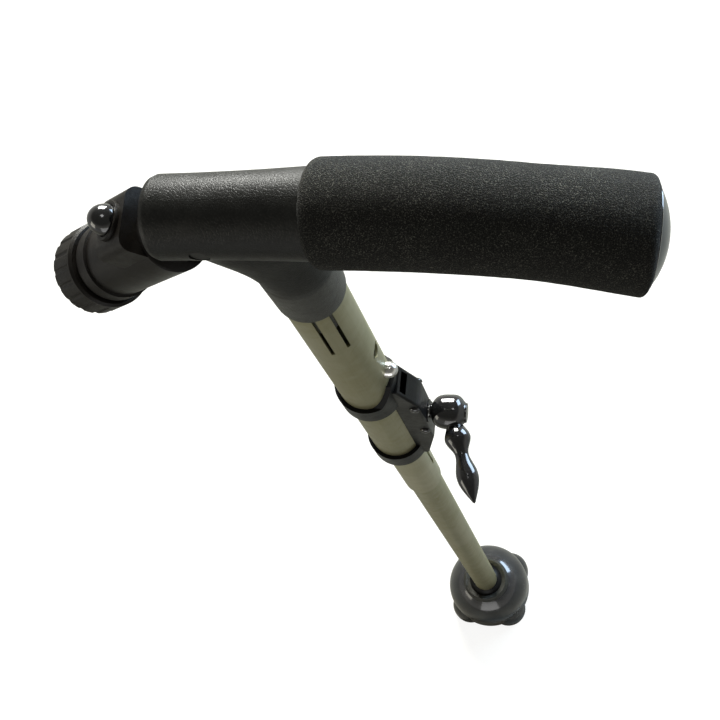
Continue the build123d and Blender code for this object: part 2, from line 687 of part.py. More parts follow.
def clamp_lever():
    """Lever with a round hub and an arm of two swells that ends in a pointed leaf."""
    z = LEVER_Z
    splay = math.radians(LEVER_SPLAY)
    low, high = LEVER_BASE_X - LEVER_HUB_X, LEVER_HUB_HALF
    bulge = Spline((LEVER_NECK_R, low + 0.8), (LEVER_HUB_R - 1.2, low + 3.6), (LEVER_HUB_R, 0.0),
                   (LEVER_HUB_R - 0.9, 0.55 * high), (LEVER_HUB_R - 3.6, 0.88 * high), (0.8, high),
                   tangents=((1, 0.4), (-1, 0)))
    neck = Polyline((0.8, high), (0, high), (0, low), (LEVER_NECK_R, low), (LEVER_NECK_R, low + 0.8))
    hub_plane = Plane(origin=(LEVER_HUB_X, 0, z), x_dir=(0, 0, 1), z_dir=(1, 0, 0))
    hub = at(hub_plane, revolve(Plane.XZ * make_face(bulge + neck), Axis.Z))
    outline = Spline(
        (4.2, 0), (3.6, 6.4), (6.2, 13.6), (3.4, 20.5), (4.9, 29.0), (5.1, 34.0), (3.1, 40.0),
        (0.7, LEVER_LENGTH - 0.6),
    )
    edge = Polyline((0.7, LEVER_LENGTH - 0.6), (0, LEVER_LENGTH), (0, 0), (4.2, 0))
    arm = revolve(Plane.XZ * make_face(outline + edge), Axis.Z)
    outwards = (math.sin(splay), -math.cos(splay), 0)
    arm_plane = Plane(origin=(LEVER_HUB_X, 0, z), x_dir=(0, 0, 1), z_dir=outwards)
    return hub + at(arm_plane, arm)


def lever_screw():
    """Screw from the lever's hub to the inner tube."""
    tip = INNER_R + FREE
    return rod(LEVER_SCREW_R, (tip, 0, LEVER_Z), (LEVER_BASE_X, 0, LEVER_Z))


# ---- lower shaft ----

def inner_tube():
    """Inner tube with the snap button's hole."""
    tube = pipe(INNER_R, INNER_BORE, INNER_END_Z, INNER_TOP_Z)
    return tube - rod(HOLE_R, (4, 0, BUTTON_Z), (OUTER_R, 0, BUTTON_Z))


def top_glide():
    """Nylon glide on the inner tube's upper end, with a cap that closes it."""
    low = INNER_TOP_Z - GLIDE_LENGTH
    glide = cyl(OUTER_BORE - RUN, low, INNER_TOP_Z + GLIDE_CAP)
    return glide - cyl(INNER_R + SEAT, low - 1, INNER_TOP_Z + SEAT)


def snap_button():
    """Round-nosed steel button."""
    nose = SNAP_TIP_X - SNAP_R
    shank = rod(SNAP_R, (INNER_BORE - 1.4, 0, BUTTON_Z), (nose, 0, BUTTON_Z))
    return shank + Pos(nose, 0, BUTTON_Z) * Sphere(SNAP_R)


def snap_spring():
    """Bent strip that pushes the button outwards."""
    front, back = INNER_BORE - 1.4, -INNER_BORE + 1.0
    low = BUTTON_Z - SNAP_LEG_LENGTH
    t = SNAP_STRIP_THICK
    path = [
        (front, BUTTON_Z + 5), (front - t, BUTTON_Z + 5), (front - t, BUTTON_Z - 5), (0.8, low + t),
        (-0.8, low + t), (back + t, BUTTON_Z - 5), (back + t, BUTTON_Z + 5), (back, BUTTON_Z + 5),
        (back, BUTTON_Z - 5), (-1.2, low), (1.2, low), (front, BUTTON_Z - 5),
    ]
    return extrude(Plane.XZ * make_face(Polyline(*path, close=True)), SNAP_STRIP_HALF, both=True)


# ---- foot ----

def lobed_outline():
    """Four-lobed outline of the foot."""
    shape = Circle(WAIST_R)
    for lobe in range(LOBES):
        angle = 2 * math.pi * (lobe + 0.5) / LOBES
        shape += Pos(LOBE_CENTRE_R * math.cos(angle), LOBE_CENTRE_R * math.sin(angle)) * Circle(LOBE_R)
    return fillet(shape.vertices(), WAIST_FILLET)


def sole():
    """Rubber sole with four pads and a round middle, parted by channels."""
    body = extrude(lobed_outline(), SOLE_HEIGHT)
    reach = LOBE_CENTRE_R + LOBE_R + 5
    for lobe in range(LOBES // 2):
        channel = block(-reach, reach, -TREAD_CHANNEL / 2, TREAD_CHANNEL / 2, -1, TREAD_DEPTH)
        channel -= cyl(TREAD_RING_R - 1, -2, TREAD_DEPTH + 1)
        body -= Rot(0, 0, 90 * lobe) * channel
    body -= pipe(TREAD_RING_R, TREAD_HUB_R, -1, TREAD_DEPTH)
    for lobe in range(LOBES):
        angle = 2 * math.pi * (lobe + 0.5) / LOBES
        ring = pipe(PAD_RING_R, PAD_RING_R - PAD_RING_WIDTH, -1, PAD_RING_DEPTH)
        body -= Pos(LOBE_CENTRE_R * math.cos(angle), LOBE_CENTRE_R * math.sin(angle), 0) * ring
    return body


def foot_dome():
    """Moulded dome over the socket, with a toe over each lobe."""
    base = SOLE_HEIGHT + SEAT
    dome = Pos(0, 0, DOME_CENTRE_Z) * Sphere(DOME_R)
    dome += cyl(DOME_R, base, DOME_CENTRE_Z)
    dome &= block(-60, 60, -60, 60, base, 100)
    for lobe in range(LOBES):
        angle = 2 * math.pi * (lobe + 0.5) / LOBES
        x, y = LOBE_CENTRE_R * math.cos(angle), LOBE_CENTRE_R * math.sin(angle)
        dome += toe(base, x, y)
    inside = Pos(0, 0, DOME_CENTRE_Z) * Sphere(DOME_R - DOME_WALL)
    inside += cyl(DOME_R - DOME_WALL, base - 1, DOME_CENTRE_Z)
    inside &= block(-60, 60, -60, 60, base - 1, 100)
    inside -= cyl(CUP_R + 3.0, CAP_TOP_Z, 100)
    inside -= screw_bosses()
    dome -= inside
    dome -= Pos(0, 0, BALL_Z) * Sphere(CUP_R + SEAT)
    dome -= cyl(CUP_R + SEAT, CAP_TOP_Z - 1, BALL_Z)
    dome -= mouth_cone(CUP_R + 6)
    for screw in cap_screws(SEAT):
        dome -= screw
    return dome


def toe(base, x, y):
    """Rounded toe that carries the dome down onto one lobe."""
    crown = (LOBE_R - 7.5, base + 0.95 * TOE_HEIGHT)
    wall = Spline((LOBE_R, base), (LOBE_R - 1.2, base + 0.45 * TOE_HEIGHT), crown)
    top = Polyline(crown, (0, base + TOE_HEIGHT), (0, base), (LOBE_R, base))
    return Pos(x, y, 0) * revolve(Plane.XZ * make_face(wall + top), Axis.Z)


def mouth_cone(height):
    """Cone that opens the socket upwards from the ball's centre."""
    wide = height * math.tan(math.radians(MOUTH_ANGLE))
    return Pos(0, 0, BALL_Z + height / 2) * Cone(0.001, wide, height)


def screw_bosses():
    """Posts in the dome that the socket cap is screwed to."""
    posts = []
    for place in range(LOBES):
        angle = 2 * math.pi * place / LOBES
        x, y = CAP_SCREW_CIRCLE * math.cos(angle), CAP_SCREW_CIRCLE * math.sin(angle)
        posts.append(cyl(CAP_SCREW_HEAD_R + 1.4, CAP_TOP_Z, DOME_CENTRE_Z + 24, x, y))
    return posts[0] + posts[1:]


def cap_screws(clearance=0.0):
    """Screws up through the socket cap."""
    screws = []
    for place in range(LOBES):
        angle = 2 * math.pi * place / LOBES
        x, y = CAP_SCREW_CIRCLE * math.cos(angle), CAP_SCREW_CIRCLE * math.sin(angle)
        low = CAP_TOP_Z - CAP_THICK
        shank = cyl(CAP_SCREW_R + clearance, low, CAP_TOP_Z + CAP_SCREW_REACH + clearance, x, y)
        head = cyl(CAP_SCREW_HEAD_R + clearance, low - CAP_SCREW_HEAD - clearance, low, x, y)
        screws.append(shank + head)
    return screws


def spherical_band(outer, inner, low_drop):
    """Shell round the ball, open at the top and cut flat below."""
    shell = Sphere(outer) - Sphere(inner)
    shell = Pos(0, 0, BALL_Z) * shell
    shell -= mouth_cone(outer + 2)
    return shell & block(-60, 60, -60, 60, BALL_Z - low_drop, BALL_Z + 60)


def socket_cup():
    """Nylon cup in the dome, round the liner."""
    cup = spherical_band(CUP_R, CUP_BORE, LINER_DROP)
    skirt = pipe(CUP_R, CUP_BORE + 0.6, CAP_TOP_Z + SEAT, BALL_Z - LINER_DROP + 0.5)
    return cup + skirt


def socket_liner():
    """Slippery liner between the ball and the cup."""
    return spherical_band(LINER_R, BALL_R + RUN, LINER_DROP)


def socket_cap():
    """Plate that closes the dome from below."""
    cap = cyl(CAP_R, CAP_TOP_Z - CAP_THICK, CAP_TOP_Z)
    for screw in cap_screws(SEAT):
        cap -= screw
    return cap


def return_buffer():
    """Rubber block under the ball that brings the foot back square."""
    top = BALL_Z - BALL_R + BUFFER_RIM
    outline = [(0, CAP_TOP_Z), (BUFFER_R, CAP_TOP_Z), (BUFFER_R - 1.5, top), (0, top)]
    return lathe(outline) - Pos(0, 0, BALL_Z) * Sphere(BALL_R + FREE)


def ballast_plate():
    """Steel disc low in the foot."""
    low = SOLE_HEIGHT + SEAT
    return cyl(BALLAST_R, low, low + BALLAST_THICK)


def ankle_ball():
    """Ball with a socket for the inner tube and a stub inside it."""
    ball = Pos(0, 0, BALL_Z) * Sphere(BALL_R)
    ball -= pipe(INNER_R + SEAT, INNER_BORE - SEAT, INNER_END_Z - SEAT, BALL_Z + BALL_R + 5)
    stub = cyl(INNER_BORE - SEAT, BALL_Z, BALL_Z + BALL_R + 12)
    return ball + stub


def build():
    """All nodes by name."""
    nodes = {}
    nodes.update(handle_shells())
    nodes["handle_screws"] = Compound(housing_screws())
    nodes["stem_cross_screw"] = cross_screw()
    nodes["stem_insert"] = stem_insert()
    nodes["foam_grip"] = foam_grip()
    nodes["grip_end_plug"] = end_plug()
    nodes["torch_pivot_pin"] = pivot_pin()
    nodes["torch_body"] = torch_body()
    nodes["torch_head_ring"] = torch_head()
    nodes.update(torch_optics())
    nodes.update(torch_power())
    nodes["torch_switch"] = torch_switch()
    nodes["torch_button"] = torch_button()
    nodes["torch_button_ring"] = torch_button_ring()
    nodes["collar"] = collar()
    nodes["outer_tube"] = outer_tube()
    nodes["reducer_sleeve"] = reducer_sleeve()
    nodes["clamp_body"] = clamp_body()
    nodes["clamp_bar"] = clamp_bar()
    nodes["clamp_side_screws"] = Compound(clamp_side_screws())
    nodes["clamp_lever"] = clamp_lever()
    nodes["lever_screw"] = lever_screw()
    nodes["inner_tube"] = inner_tube()
    nodes["top_glide"] = top_glide()
    nodes["snap_button"] = snap_button()
    nodes["snap_spring"] = snap_spring()
    nodes["ankle_ball"] = ankle_ball()
    nodes["socket_liner"] = socket_liner()
    nodes["socket_cup"] = socket_cup()
    nodes["socket_cap"] = socket_cap()
    nodes["cap_screws"] = Compound(cap_screws())
    nodes["return_buffer"] = return_buffer()
    nodes["foot_dome"] = foot_dome()
    nodes["ballast_plate"] = ballast_plate()
    nodes["sole"] = sole()
    return nodes


def main():
    """Write one STEP file for each node."""
    os.makedirs("parts", exist_ok=True)
    for name, shape in build().items():
        export_step(shape, f"parts/{name}.step")


if __name__ == "__main__":
    main()
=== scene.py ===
"""Looks of a height-adjustable walking cane with a tilting torch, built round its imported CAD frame."""
import json
import logging
import math
from dataclasses import dataclass
from enum import Enum
from typing import Callable, Optional, Sequence

import bmesh
import bpy
from mathutils import Matrix, Vector


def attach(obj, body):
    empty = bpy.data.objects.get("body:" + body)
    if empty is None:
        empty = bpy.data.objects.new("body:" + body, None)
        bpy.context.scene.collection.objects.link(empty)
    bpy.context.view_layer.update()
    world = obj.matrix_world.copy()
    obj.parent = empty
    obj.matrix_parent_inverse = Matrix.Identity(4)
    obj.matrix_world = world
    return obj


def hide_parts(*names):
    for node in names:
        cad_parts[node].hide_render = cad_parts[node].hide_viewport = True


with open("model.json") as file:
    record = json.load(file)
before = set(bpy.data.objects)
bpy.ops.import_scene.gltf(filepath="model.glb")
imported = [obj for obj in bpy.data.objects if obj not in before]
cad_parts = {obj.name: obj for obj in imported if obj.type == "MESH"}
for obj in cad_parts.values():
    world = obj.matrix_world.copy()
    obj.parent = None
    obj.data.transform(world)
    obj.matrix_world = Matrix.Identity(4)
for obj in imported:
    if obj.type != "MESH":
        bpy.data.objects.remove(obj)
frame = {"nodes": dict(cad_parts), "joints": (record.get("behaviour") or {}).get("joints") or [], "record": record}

log = logging.getLogger("cane")
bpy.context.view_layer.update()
MM = 0.001
NodeSocket = bpy.types.NodeSocket
Colour = tuple[float, float, float, float]
MERGE = 2e-6           # doubled vertices lie closer than this, in metres


class Body(Enum):
    """Rigid bodies of the cane that carry a dressed piece."""

    FOOT = "foot"
    UPPER = "upper_shaft"
    LEVER = "clamp_lever"
    TORCH = "torch"
    TORCH_BUTTON = "torch_button"


# ---------------------------------------------------------------- node trees


class Canvas:
    """Short way to add and link nodes in one node tree."""

    def __init__(self, tree: bpy.types.NodeTree) -> None:
        """Wrap a node tree.

        Args:
            tree: shader or geometry tree to add to.
        """
        self.tree = tree

    def add(self, kind: str, settings: Optional[dict] = None, **inputs: object) -> bpy.types.Node:
        """Add a node, set its properties and connect or fill its inputs.

        Args:
            kind: bl_idname of the node.
            settings: node properties by name.
            **inputs: as for fill.

        Returns:
            The new node.
        """
        node = self.tree.nodes.new(kind)
        for name, value in (settings or {}).items():
            setattr(node, name, value)
        return self.fill(node, **inputs)

    def fill(self, node: bpy.types.Node, **inputs: object) -> bpy.types.Node:
        """Connect or set a node's inputs.

        Args:
            node: the node.
            **inputs: values by socket name, with underscores for spaces, or by i0, i1 and so on.

        Returns:
            The same node.
        """
        for name, value in inputs.items():
            numbered = name[0] == "i" and name[1:].isdigit()
            self.put(node.inputs[int(name[1:]) if numbered else name.replace("_", " ")], value)
        return node

    def put(self, socket: NodeSocket, value: object) -> None:
        """Link a socket or node into an input, or set its value.

        Args:
            socket: the input.
            value: socket, node or plain value for it.
        """
        if isinstance(value, bpy.types.Node):
            value = next(s for s in value.outputs if s.enabled)
        if isinstance(value, bpy.types.NodeSocket):
            self.tree.links.new(value, socket)
        else:
            socket.default_value = value

    def math(self, operation: str, *values: object, clamp: bool = False) -> NodeSocket:
        """Add a Math node.

        Args:
            operation: name of the operation.
            *values: sockets or numbers, in order.
            clamp: whether the result is kept from 0 to 1.

        Returns:
            The node's output.
        """
        node = self.tree.nodes.new("ShaderNodeMath")
        node.operation, node.use_clamp = operation, clamp
        for socket, value in zip(node.inputs, values):
            self.put(socket, value)
        return node.outputs[0]

    def times(self, first: object, second: object) -> NodeSocket:
        """Multiply two values."""
        return self.math("MULTIPLY", first, second)

    def vector(self, x: object, y: object, z: object) -> NodeSocket:
        """Join three values into a vector."""
        return self.add("ShaderNodeCombineXYZ", None, X=x, Y=y, Z=z).outputs[0]

    def remap(self, value: object, low: object, high: object, to_low: object = 0.0,
              to_high: object = 1.0) -> NodeSocket:
        """Map a range of a value smoothly onto another range.

        Args:
            value: socket or number.
            low: start of its range.
            high: end of its range.
            to_low: what the start becomes.
            to_high: what the end becomes.

        Returns:
            The node's output.
        """
        node = self.add("ShaderNodeMapRange", {"interpolation_type": "SMOOTHSTEP"})
        for socket, number in zip(node.inputs, (value, low, high, to_low, to_high)):
            self.put(socket, number)
        return node.outputs[0]

    def blend(self, factor: object, first: object, second: object) -> NodeSocket:
        """Mix two colours.

        Args:
            factor: share of the second colour.
            first: colour at 0.
            second: colour at 1.

        Returns:
            The node's output.
        """
        node = self.add("ShaderNodeMix", {"data_type": "RGBA"})
        self.put(node.inputs[0], factor)
        self.put(node.inputs[6], first)
        self.put(node.inputs[7], second)
        return node.outputs[2]


@dataclass(frozen=True)
class Effect:
    """A surface effect that several finishes share, kept as one node group."""

    name: str
    inputs: tuple[tuple[str, str, float], ...]
    outputs: tuple[tuple[str, str], ...]
    wiring: Callable[[Canvas, bpy.types.Node, bpy.types.Node], None]

    def group(self) -> bpy.types.NodeTree:
        """Build the node group the first time it is asked for.

        Returns:
            The node group.
        """
        found = bpy.data.node_groups.get(self.name)
        if found:
            return found
        tree = bpy.data.node_groups.new(self.name, "ShaderNodeTree")
        for name, kind, value in self.inputs:
            socket = tree.interface.new_socket(name, in_out="INPUT", socket_type=kind)
            if kind == "NodeSocketFloat":
                socket.default_value = value
        for name, kind in self.outputs:
            tree.interface.new_socket(name, in_out="OUTPUT", socket_type=kind)
        canvas = Canvas(tree)
        source, sink = canvas.add("NodeGroupInput"), canvas.add("NodeGroupOutput")
        self.wiring(canvas, source, sink)
        return tree

    def place(self, canvas: Canvas, **inputs: object) -> bpy.types.Node:
        """Add this effect to a material.

        Args:
            canvas: the material's canvas.
            **inputs: values or sockets by name.

        Returns:
            The group node.
        """
        node = canvas.tree.nodes.new("ShaderNodeGroup")
        node.node_tree = self.group()
        return canvas.fill(node, **inputs)


def _wire_grain(c: Canvas, source: bpy.types.Node, sink: bpy.types.Node) -> None:
    """Leather grain: irregular cells with soft valleys and a finer tooth over them.

    Args:
        c: canvas of the group.
        source: its input node.
        sink: its output node.
    """
    warp = c.add("ShaderNodeTexNoise", None, Vector=source.outputs["Vector"], Scale=260.0, Detail=2.0)
    shift = c.add("ShaderNodeVectorMath", {"operation": "SCALE"}, i0=warp.outputs["Color"], Scale=0.0012)
    place = c.add("ShaderNodeVectorMath", {"operation": "ADD"}, i0=source.outputs["Vector"], i1=shift)
    cells = c.add("ShaderNodeTexVoronoi", {"feature": "DISTANCE_TO_EDGE"}, Vector=place.outputs[0],
                  Scale=source.outputs["Scale"])
    valleys = c.remap(cells.outputs["Distance"], 0.0, 0.16)
    tooth_scale = c.times(source.outputs["Scale"], 3.1)
    tooth = c.add("ShaderNodeTexNoise", None, Vector=place.outputs[0], Scale=tooth_scale, Detail=3.0)
    low = c.times(tooth.outputs["Fac"], source.outputs["Tooth"])
    # Valley is high in the grain's valleys; Moulded darkens its colour by it as painted shade.
    c.fill(sink, Height=c.math("ADD", valleys, low), Valley=c.math("SUBTRACT", 1.0, valleys))


def _wire_mottle(c: Canvas, source: bpy.types.Node, sink: bpy.types.Node) -> None:
    """Slow change of tone and gloss across a moulding, as from handling.

    Args:
        c: canvas of the group.
        source: its input node.
        sink: its output node.
    """
    big = c.add("ShaderNodeTexNoise", None, Vector=source.outputs["Vector"], Scale=source.outputs["Scale"],
                Detail=4.0, Roughness=0.55)
    fine = c.add("ShaderNodeTexNoise", None, Vector=source.outputs["Vector"],
                 Scale=c.times(source.outputs["Scale"], 9.0), Detail=3.0)
    both = c.math("ADD", c.times(big.outputs["Fac"], 0.7), c.times(fine.outputs["Fac"], 0.3))
    mask = c.remap(both, 0.36, 0.64)
    spread = c.times(c.math("SUBTRACT", mask, 0.5), source.outputs["Spread"])
    c.fill(sink, Mask=mask, Roughness=c.math("ADD", source.outputs["Roughness"], spread, clamp=True))


def _wire_lines(c: Canvas, source: bpy.types.Node, sink: bpy.types.Node) -> None:
    """Fine drawn lines along the shaft, as on extruded tube.

    Args:
        c: canvas of the group.
        source: its input node.
        sink: its output node.
    """
    stretch = c.add("ShaderNodeMapping", {"vector_type": "TEXTURE"}, Vector=source.outputs["Vector"],
                    Scale=(1.0, 1.0, 90.0))
    lines = c.add("ShaderNodeTexNoise", None, Vector=stretch, Scale=source.outputs["Scale"], Detail=4.0,
                  Roughness=0.7)
    c.fill(sink, Height=lines.outputs["Fac"], Mask=c.remap(lines.outputs["Fac"], 0.4, 0.68))


def _wire_scuffs(c: Canvas, source: bpy.types.Node, sink: bpy.types.Node) -> None:
    """Sparse short scratches that break the gloss.

    Args:
        c: canvas of the group.
        source: its input node.
        sink: its output node.
    """
    bend = c.add("ShaderNodeTexNoise", None, Vector=source.outputs["Vector"], Scale=45.0, Detail=1.0)
    turn = c.add("ShaderNodeVectorMath", {"operation": "SCALE"}, i0=bend.outputs["Color"], Scale=0.02)
    place = c.add("ShaderNodeVectorMath", {"operation": "ADD"}, i0=source.outputs["Vector"], i1=turn)
    flat = c.add("ShaderNodeMapping", {"vector_type": "TEXTURE"}, Vector=place.outputs[0],
                 Rotation=(0.6, 0.9, 0.3), Scale=(1.0, 14.0, 1.0))
    lines = c.add("ShaderNodeTexVoronoi", {"feature": "DISTANCE_TO_EDGE"}, Vector=flat,
                  Scale=source.outputs["Scale"])
    thin = c.remap(lines.outputs["Distance"], 0.0, 0.035, 1.0, 0.0)
    patch = c.add("ShaderNodeTexNoise", None, Vector=source.outputs["Vector"], Scale=70.0, Detail=2.0)
    where = c.remap(patch.outputs["Fac"], 0.52, 0.7)
    c.fill(sink, Mask=c.times(thin, c.times(where, source.outputs["Amount"])))


def _wire_dust(c: Canvas, source: bpy.types.Node, sink: bpy.types.Node) -> None:
    """Pale dust that settles on faces that look up and fades with height above the floor.

    Args:
        c: canvas of the group.
        source: its input node.
        sink: its output node.
    """
    normal = c.add("ShaderNodeSeparateXYZ", None, Vector=source.outputs["Normal"])
    upward = c.remap(normal.outputs["Z"], 0.1, 1.0, 0.15, 1.0)
    where = c.add("ShaderNodeSeparateXYZ", None, Vector=source.outputs["Vector"])
    near = c.remap(where.outputs["Z"], 0.0, source.outputs["Reach"], 1.0, 0.25)
    patch = c.add("ShaderNodeTexNoise", None, Vector=source.outputs["Vector"], Scale=110.0, Detail=6.0,
                  Roughness=0.7)
    spots = c.remap(patch.outputs["Fac"], 0.42, 0.72)
    whole = c.times(c.times(upward, near), spots)
    c.fill(sink, Mask=c.math("MULTIPLY", whole, source.outputs["Amount"], clamp=True))


VEC, NUM = "NodeSocketVector", "NodeSocketFloat"
GRAIN = Effect("leather_grain", (("Vector", VEC, 0), ("Scale", NUM, 900.0), ("Tooth", NUM, 0.4)),
               (("Height", NUM), ("Valley", NUM)), _wire_grain)
MOTTLE = Effect("handled_mottle", (("Vector", VEC, 0), ("Scale", NUM, 30.0), ("Roughness", NUM, 0.4),
                                   ("Spread", NUM, 0.15)), (("Mask", NUM), ("Roughness", NUM)), _wire_mottle)
LINES = Effect("drawn_lines", (("Vector", VEC, 0), ("Scale", NUM, 1500.0)), (("Height", NUM), ("Mask", NUM)),
               _wire_lines)
SCUFFS = Effect("scuffs", (("Vector", VEC, 0), ("Scale", NUM, 60.0), ("Amount", NUM, 1.0)), (("Mask", NUM),),
                _wire_scuffs)
DUST = Effect("settled_dust", (("Vector", VEC, 0), ("Normal", VEC, 0), ("Reach", NUM, 0.2),
                               ("Amount", NUM, 0.3)), (("Mask", NUM),), _wire_dust)


# ---------------------------------------------------------------- finishes


def rgb(red: float, green: float, blue: float) -> Colour:
    """Colour from linear red, green and blue."""
    return (red, green, blue, 1.0)


def dimmed(colour: Colour, share: float) -> Colour:
    """Colour with its light cut to a share."""
    return tuple(value * share for value in colour[:3]) + (1.0,)


WHITE = rgb(1.0, 1.0, 1.0)
DUST_COLOUR = rgb(0.30, 0.28, 0.24)


@dataclass(frozen=True)
class Finish:
    """A surface finish. Each kind wires its own shader."""

    name: str
    colour: Colour
    roughness: float = 0.4

    def material(self) -> bpy.types.Material:
        """Build the material the first time it is asked for.

        Returns:
            The material.
        """
        label = "cane_" + self.name
        found = bpy.data.materials.get(label)
        if found:
            return found
        material = bpy.data.materials.new(label)
        material.use_nodes = True
        canvas = Canvas(material.node_tree)
        shader = material.node_tree.nodes["Principled BSDF"]
        place = canvas.add("ShaderNodeTexCoord").outputs["Object"]
        self.wire(canvas, shader, place)
        material.diffuse_color = self.colour
        return material

    def wire(self, c: Canvas, shader: bpy.types.Node, place: NodeSocket) -> None:
        """Wire the shader.

        Args:
            c: canvas of the material.
            shader: its Principled BSDF.
            place: Object coordinates.
        """
        raise NotImplementedError

    @staticmethod
    def bump(c: Canvas, shader: bpy.types.Node, height: object, strength: float, distance: float) -> None:
        """Feed a height through one Bump node into the shader's normal."""
        node = c.add("ShaderNodeBump", None, Strength=strength, Distance=distance, Height=height)
        c.fill(shader, Normal=node)

    @staticmethod
    def dust_over(c: Canvas, place: NodeSocket, colour: object, amount: float, reach: float) -> NodeSocket:
        """Lay settled dust over a colour.

        Args:
            c: canvas of the material.
            place: Object coordinates.
            colour: what the dust lies on.
            amount: how dense the dust is.
            reach: height above the floor, in metres, over which it thins.

        Returns:
            The new colour.
        """
        normal = c.add("ShaderNodeNewGeometry").outputs["Normal"]
        dust = DUST.place(c, Vector=place, Normal=normal, Reach=reach, Amount=amount)
        return c.blend(dust.outputs["Mask"], colour, DUST_COLOUR)


@dataclass(frozen=True)
class Moulded(Finish):
    """Moulded plastic with a textured or plain skin."""

    grain: float = 900.0
    depth: float = 0.06
    coat: float = 0.0
    tint: Colour = (0.05, 0.05, 0.045, 1.0)
    spread: float = 0.16
    specular: float = 0.5
    dust: float = 0.12
    reach: float = 0.3

    def wire(self, c: Canvas, shader: bpy.types.Node, place: NodeSocket) -> None:
        """Wire grain, handled tone, scuffs, a little dust and painted shade in the grain's valleys.

        Args:
            c: canvas of the material.
            shader: its Principled BSDF.
            place: Object coordinates.
        """
        mottle = MOTTLE.place(c, Vector=place, Scale=34.0, Roughness=self.roughness, Spread=self.spread)
        grain = GRAIN.place(c, Vector=place, Scale=self.grain, Tooth=0.45)
        scuffs = SCUFFS.place(c, Vector=place, Scale=55.0, Amount=0.35)
        worn = c.math("ADD", c.times(mottle.outputs["Mask"], 0.55), scuffs.outputs["Mask"], clamp=True)
        colour = c.blend(worn, self.colour, self.tint)
        # Painted shade: the grain's valleys are darkened towards half the colour.
        valley_shade = c.times(grain.outputs["Valley"], 0.5)
        colour = c.blend(valley_shade, colour, dimmed(self.colour, 0.5))
        colour = self.dust_over(c, place, colour, self.dust, self.reach)
        dulled = c.times(scuffs.outputs["Mask"], 0.2)
        rough = c.math("ADD", mottle.outputs["Roughness"], dulled, clamp=True)
        c.fill(shader, Base_Color=colour, Roughness=rough, IOR=1.47, Specular_IOR_Level=self.specular)
        self.bump(c, shader, grain.outputs["Height"], 1.0, self.depth * MM)
        if self.coat:
            c.fill(shader, Coat_Weight=self.coat, Coat_Roughness=0.06)


@dataclass(frozen=True)
class Foam(Finish):
    """Closed-cell foam rubber with a fine torn-cell skin."""

    cells: float = 1900.0
    fleck: Colour = (0.12, 0.119, 0.10, 1.0)

    def wire(self, c: Canvas, shader: bpy.types.Node, place: NodeSocket) -> None:
        """Wire open cells, pale flecks on their rims and slow patches.

        Args:
            c: canvas of the material.
            shader: its Principled BSDF.
            place: Object coordinates.
        """
        cells = c.add("ShaderNodeTexVoronoi", {"feature": "F1"}, Vector=place, Scale=self.cells)
        fine = c.add("ShaderNodeTexNoise", None, Vector=place, Scale=self.cells * 1.3, Detail=4.0, Roughness=0.7)
        slow = c.add("ShaderNodeTexNoise", None, Vector=place, Scale=55.0, Detail=3.0)
        rim = c.remap(cells.outputs["Distance"], 0.32, 0.62)
        fleck = c.times(rim, c.remap(fine.outputs["Fac"], 0.5, 0.63))
        patch = c.remap(slow.outputs["Fac"], 0.35, 0.7, 0.55, 1.0)
        colour = c.blend(c.times(fleck, patch), self.colour, self.fleck)
        colour = self.dust_over(c, place, colour, 0.03, 0.3)
        rough = c.remap(fine.outputs["Fac"], 0.3, 0.7, self.roughness - 0.08, self.roughness)
        c.fill(shader, Base_Color=colour, Roughness=rough, IOR=1.4, Specular_IOR_Level=0.12, Sheen_Weight=0.05,
               Sheen_Roughness=0.6)
        height = c.math("ADD", c.times(rim, 0.6), fine.outputs["Fac"])
        self.bump(c, shader, height, 1.0, 0.25 * MM)


@dataclass(frozen=True)
class Anodised(Finish):
    """Anodised aluminium tube with drawn lines and dulled patches."""

    deep: Colour = (0.1, 0.1, 0.08, 1.0)
    metallic: float = 0.9

    def wire(self, c: Canvas, shader: bpy.types.Node, place: NodeSocket) -> None:
        """Wire drawn lines, slow tone and thin scuffs.

        Args:
            c: canvas of the material.
            shader: its Principled BSDF.
            place: Object coordinates.
        """
        lines = LINES.place(c, Vector=place, Scale=1500.0)
        mottle = MOTTLE.place(c, Vector=place, Scale=22.0, Roughness=self.roughness, Spread=0.12)
        scuffs = SCUFFS.place(c, Vector=place, Scale=48.0, Amount=0.4)
        mask = c.math("ADD", c.times(lines.outputs["Mask"], 0.35),
                      c.times(mottle.outputs["Mask"], 0.4), clamp=True)
        colour = self.dust_over(c, place, c.blend(mask, self.colour, self.deep), 0.1, 0.4)
        dulled = c.times(scuffs.outputs["Mask"], 0.25)
        rough = c.math("ADD", mottle.outputs["Roughness"], dulled, clamp=True)
        c.fill(shader, Base_Color=colour, Roughness=rough, Metallic=self.metallic)
        self.bump(c, shader, lines.outputs["Height"], 0.35, 0.02 * MM)


@dataclass(frozen=True)
class Metal(Finish):
    """Plated or bare metal of small fittings."""

    marks: float = 2700.0

    def wire(self, c: Canvas, shader: bpy.types.Node, place: NodeSocket) -> None:
        """Wire a light tarnish and fine turning marks.

        Args:
            c: canvas of the material.
            shader: its Principled BSDF.
            place: Object coordinates.
        """
        mottle = MOTTLE.place(c, Vector=place, Scale=120.0, Roughness=self.roughness, Spread=0.1)
        marks = c.add("ShaderNodeTexNoise", None, Vector=place, Scale=self.marks, Detail=3.0)
        tarnish = c.times(mottle.outputs["Mask"], 0.6)
        colour = c.blend(tarnish, self.colour, dimmed(self.colour, 0.72))
        c.fill(shader, Base_Color=colour, Roughness=mottle.outputs["Roughness"], Metallic=1.0)
        self.bump(c, shader, marks.outputs["Fac"], 0.25, 0.01 * MM)


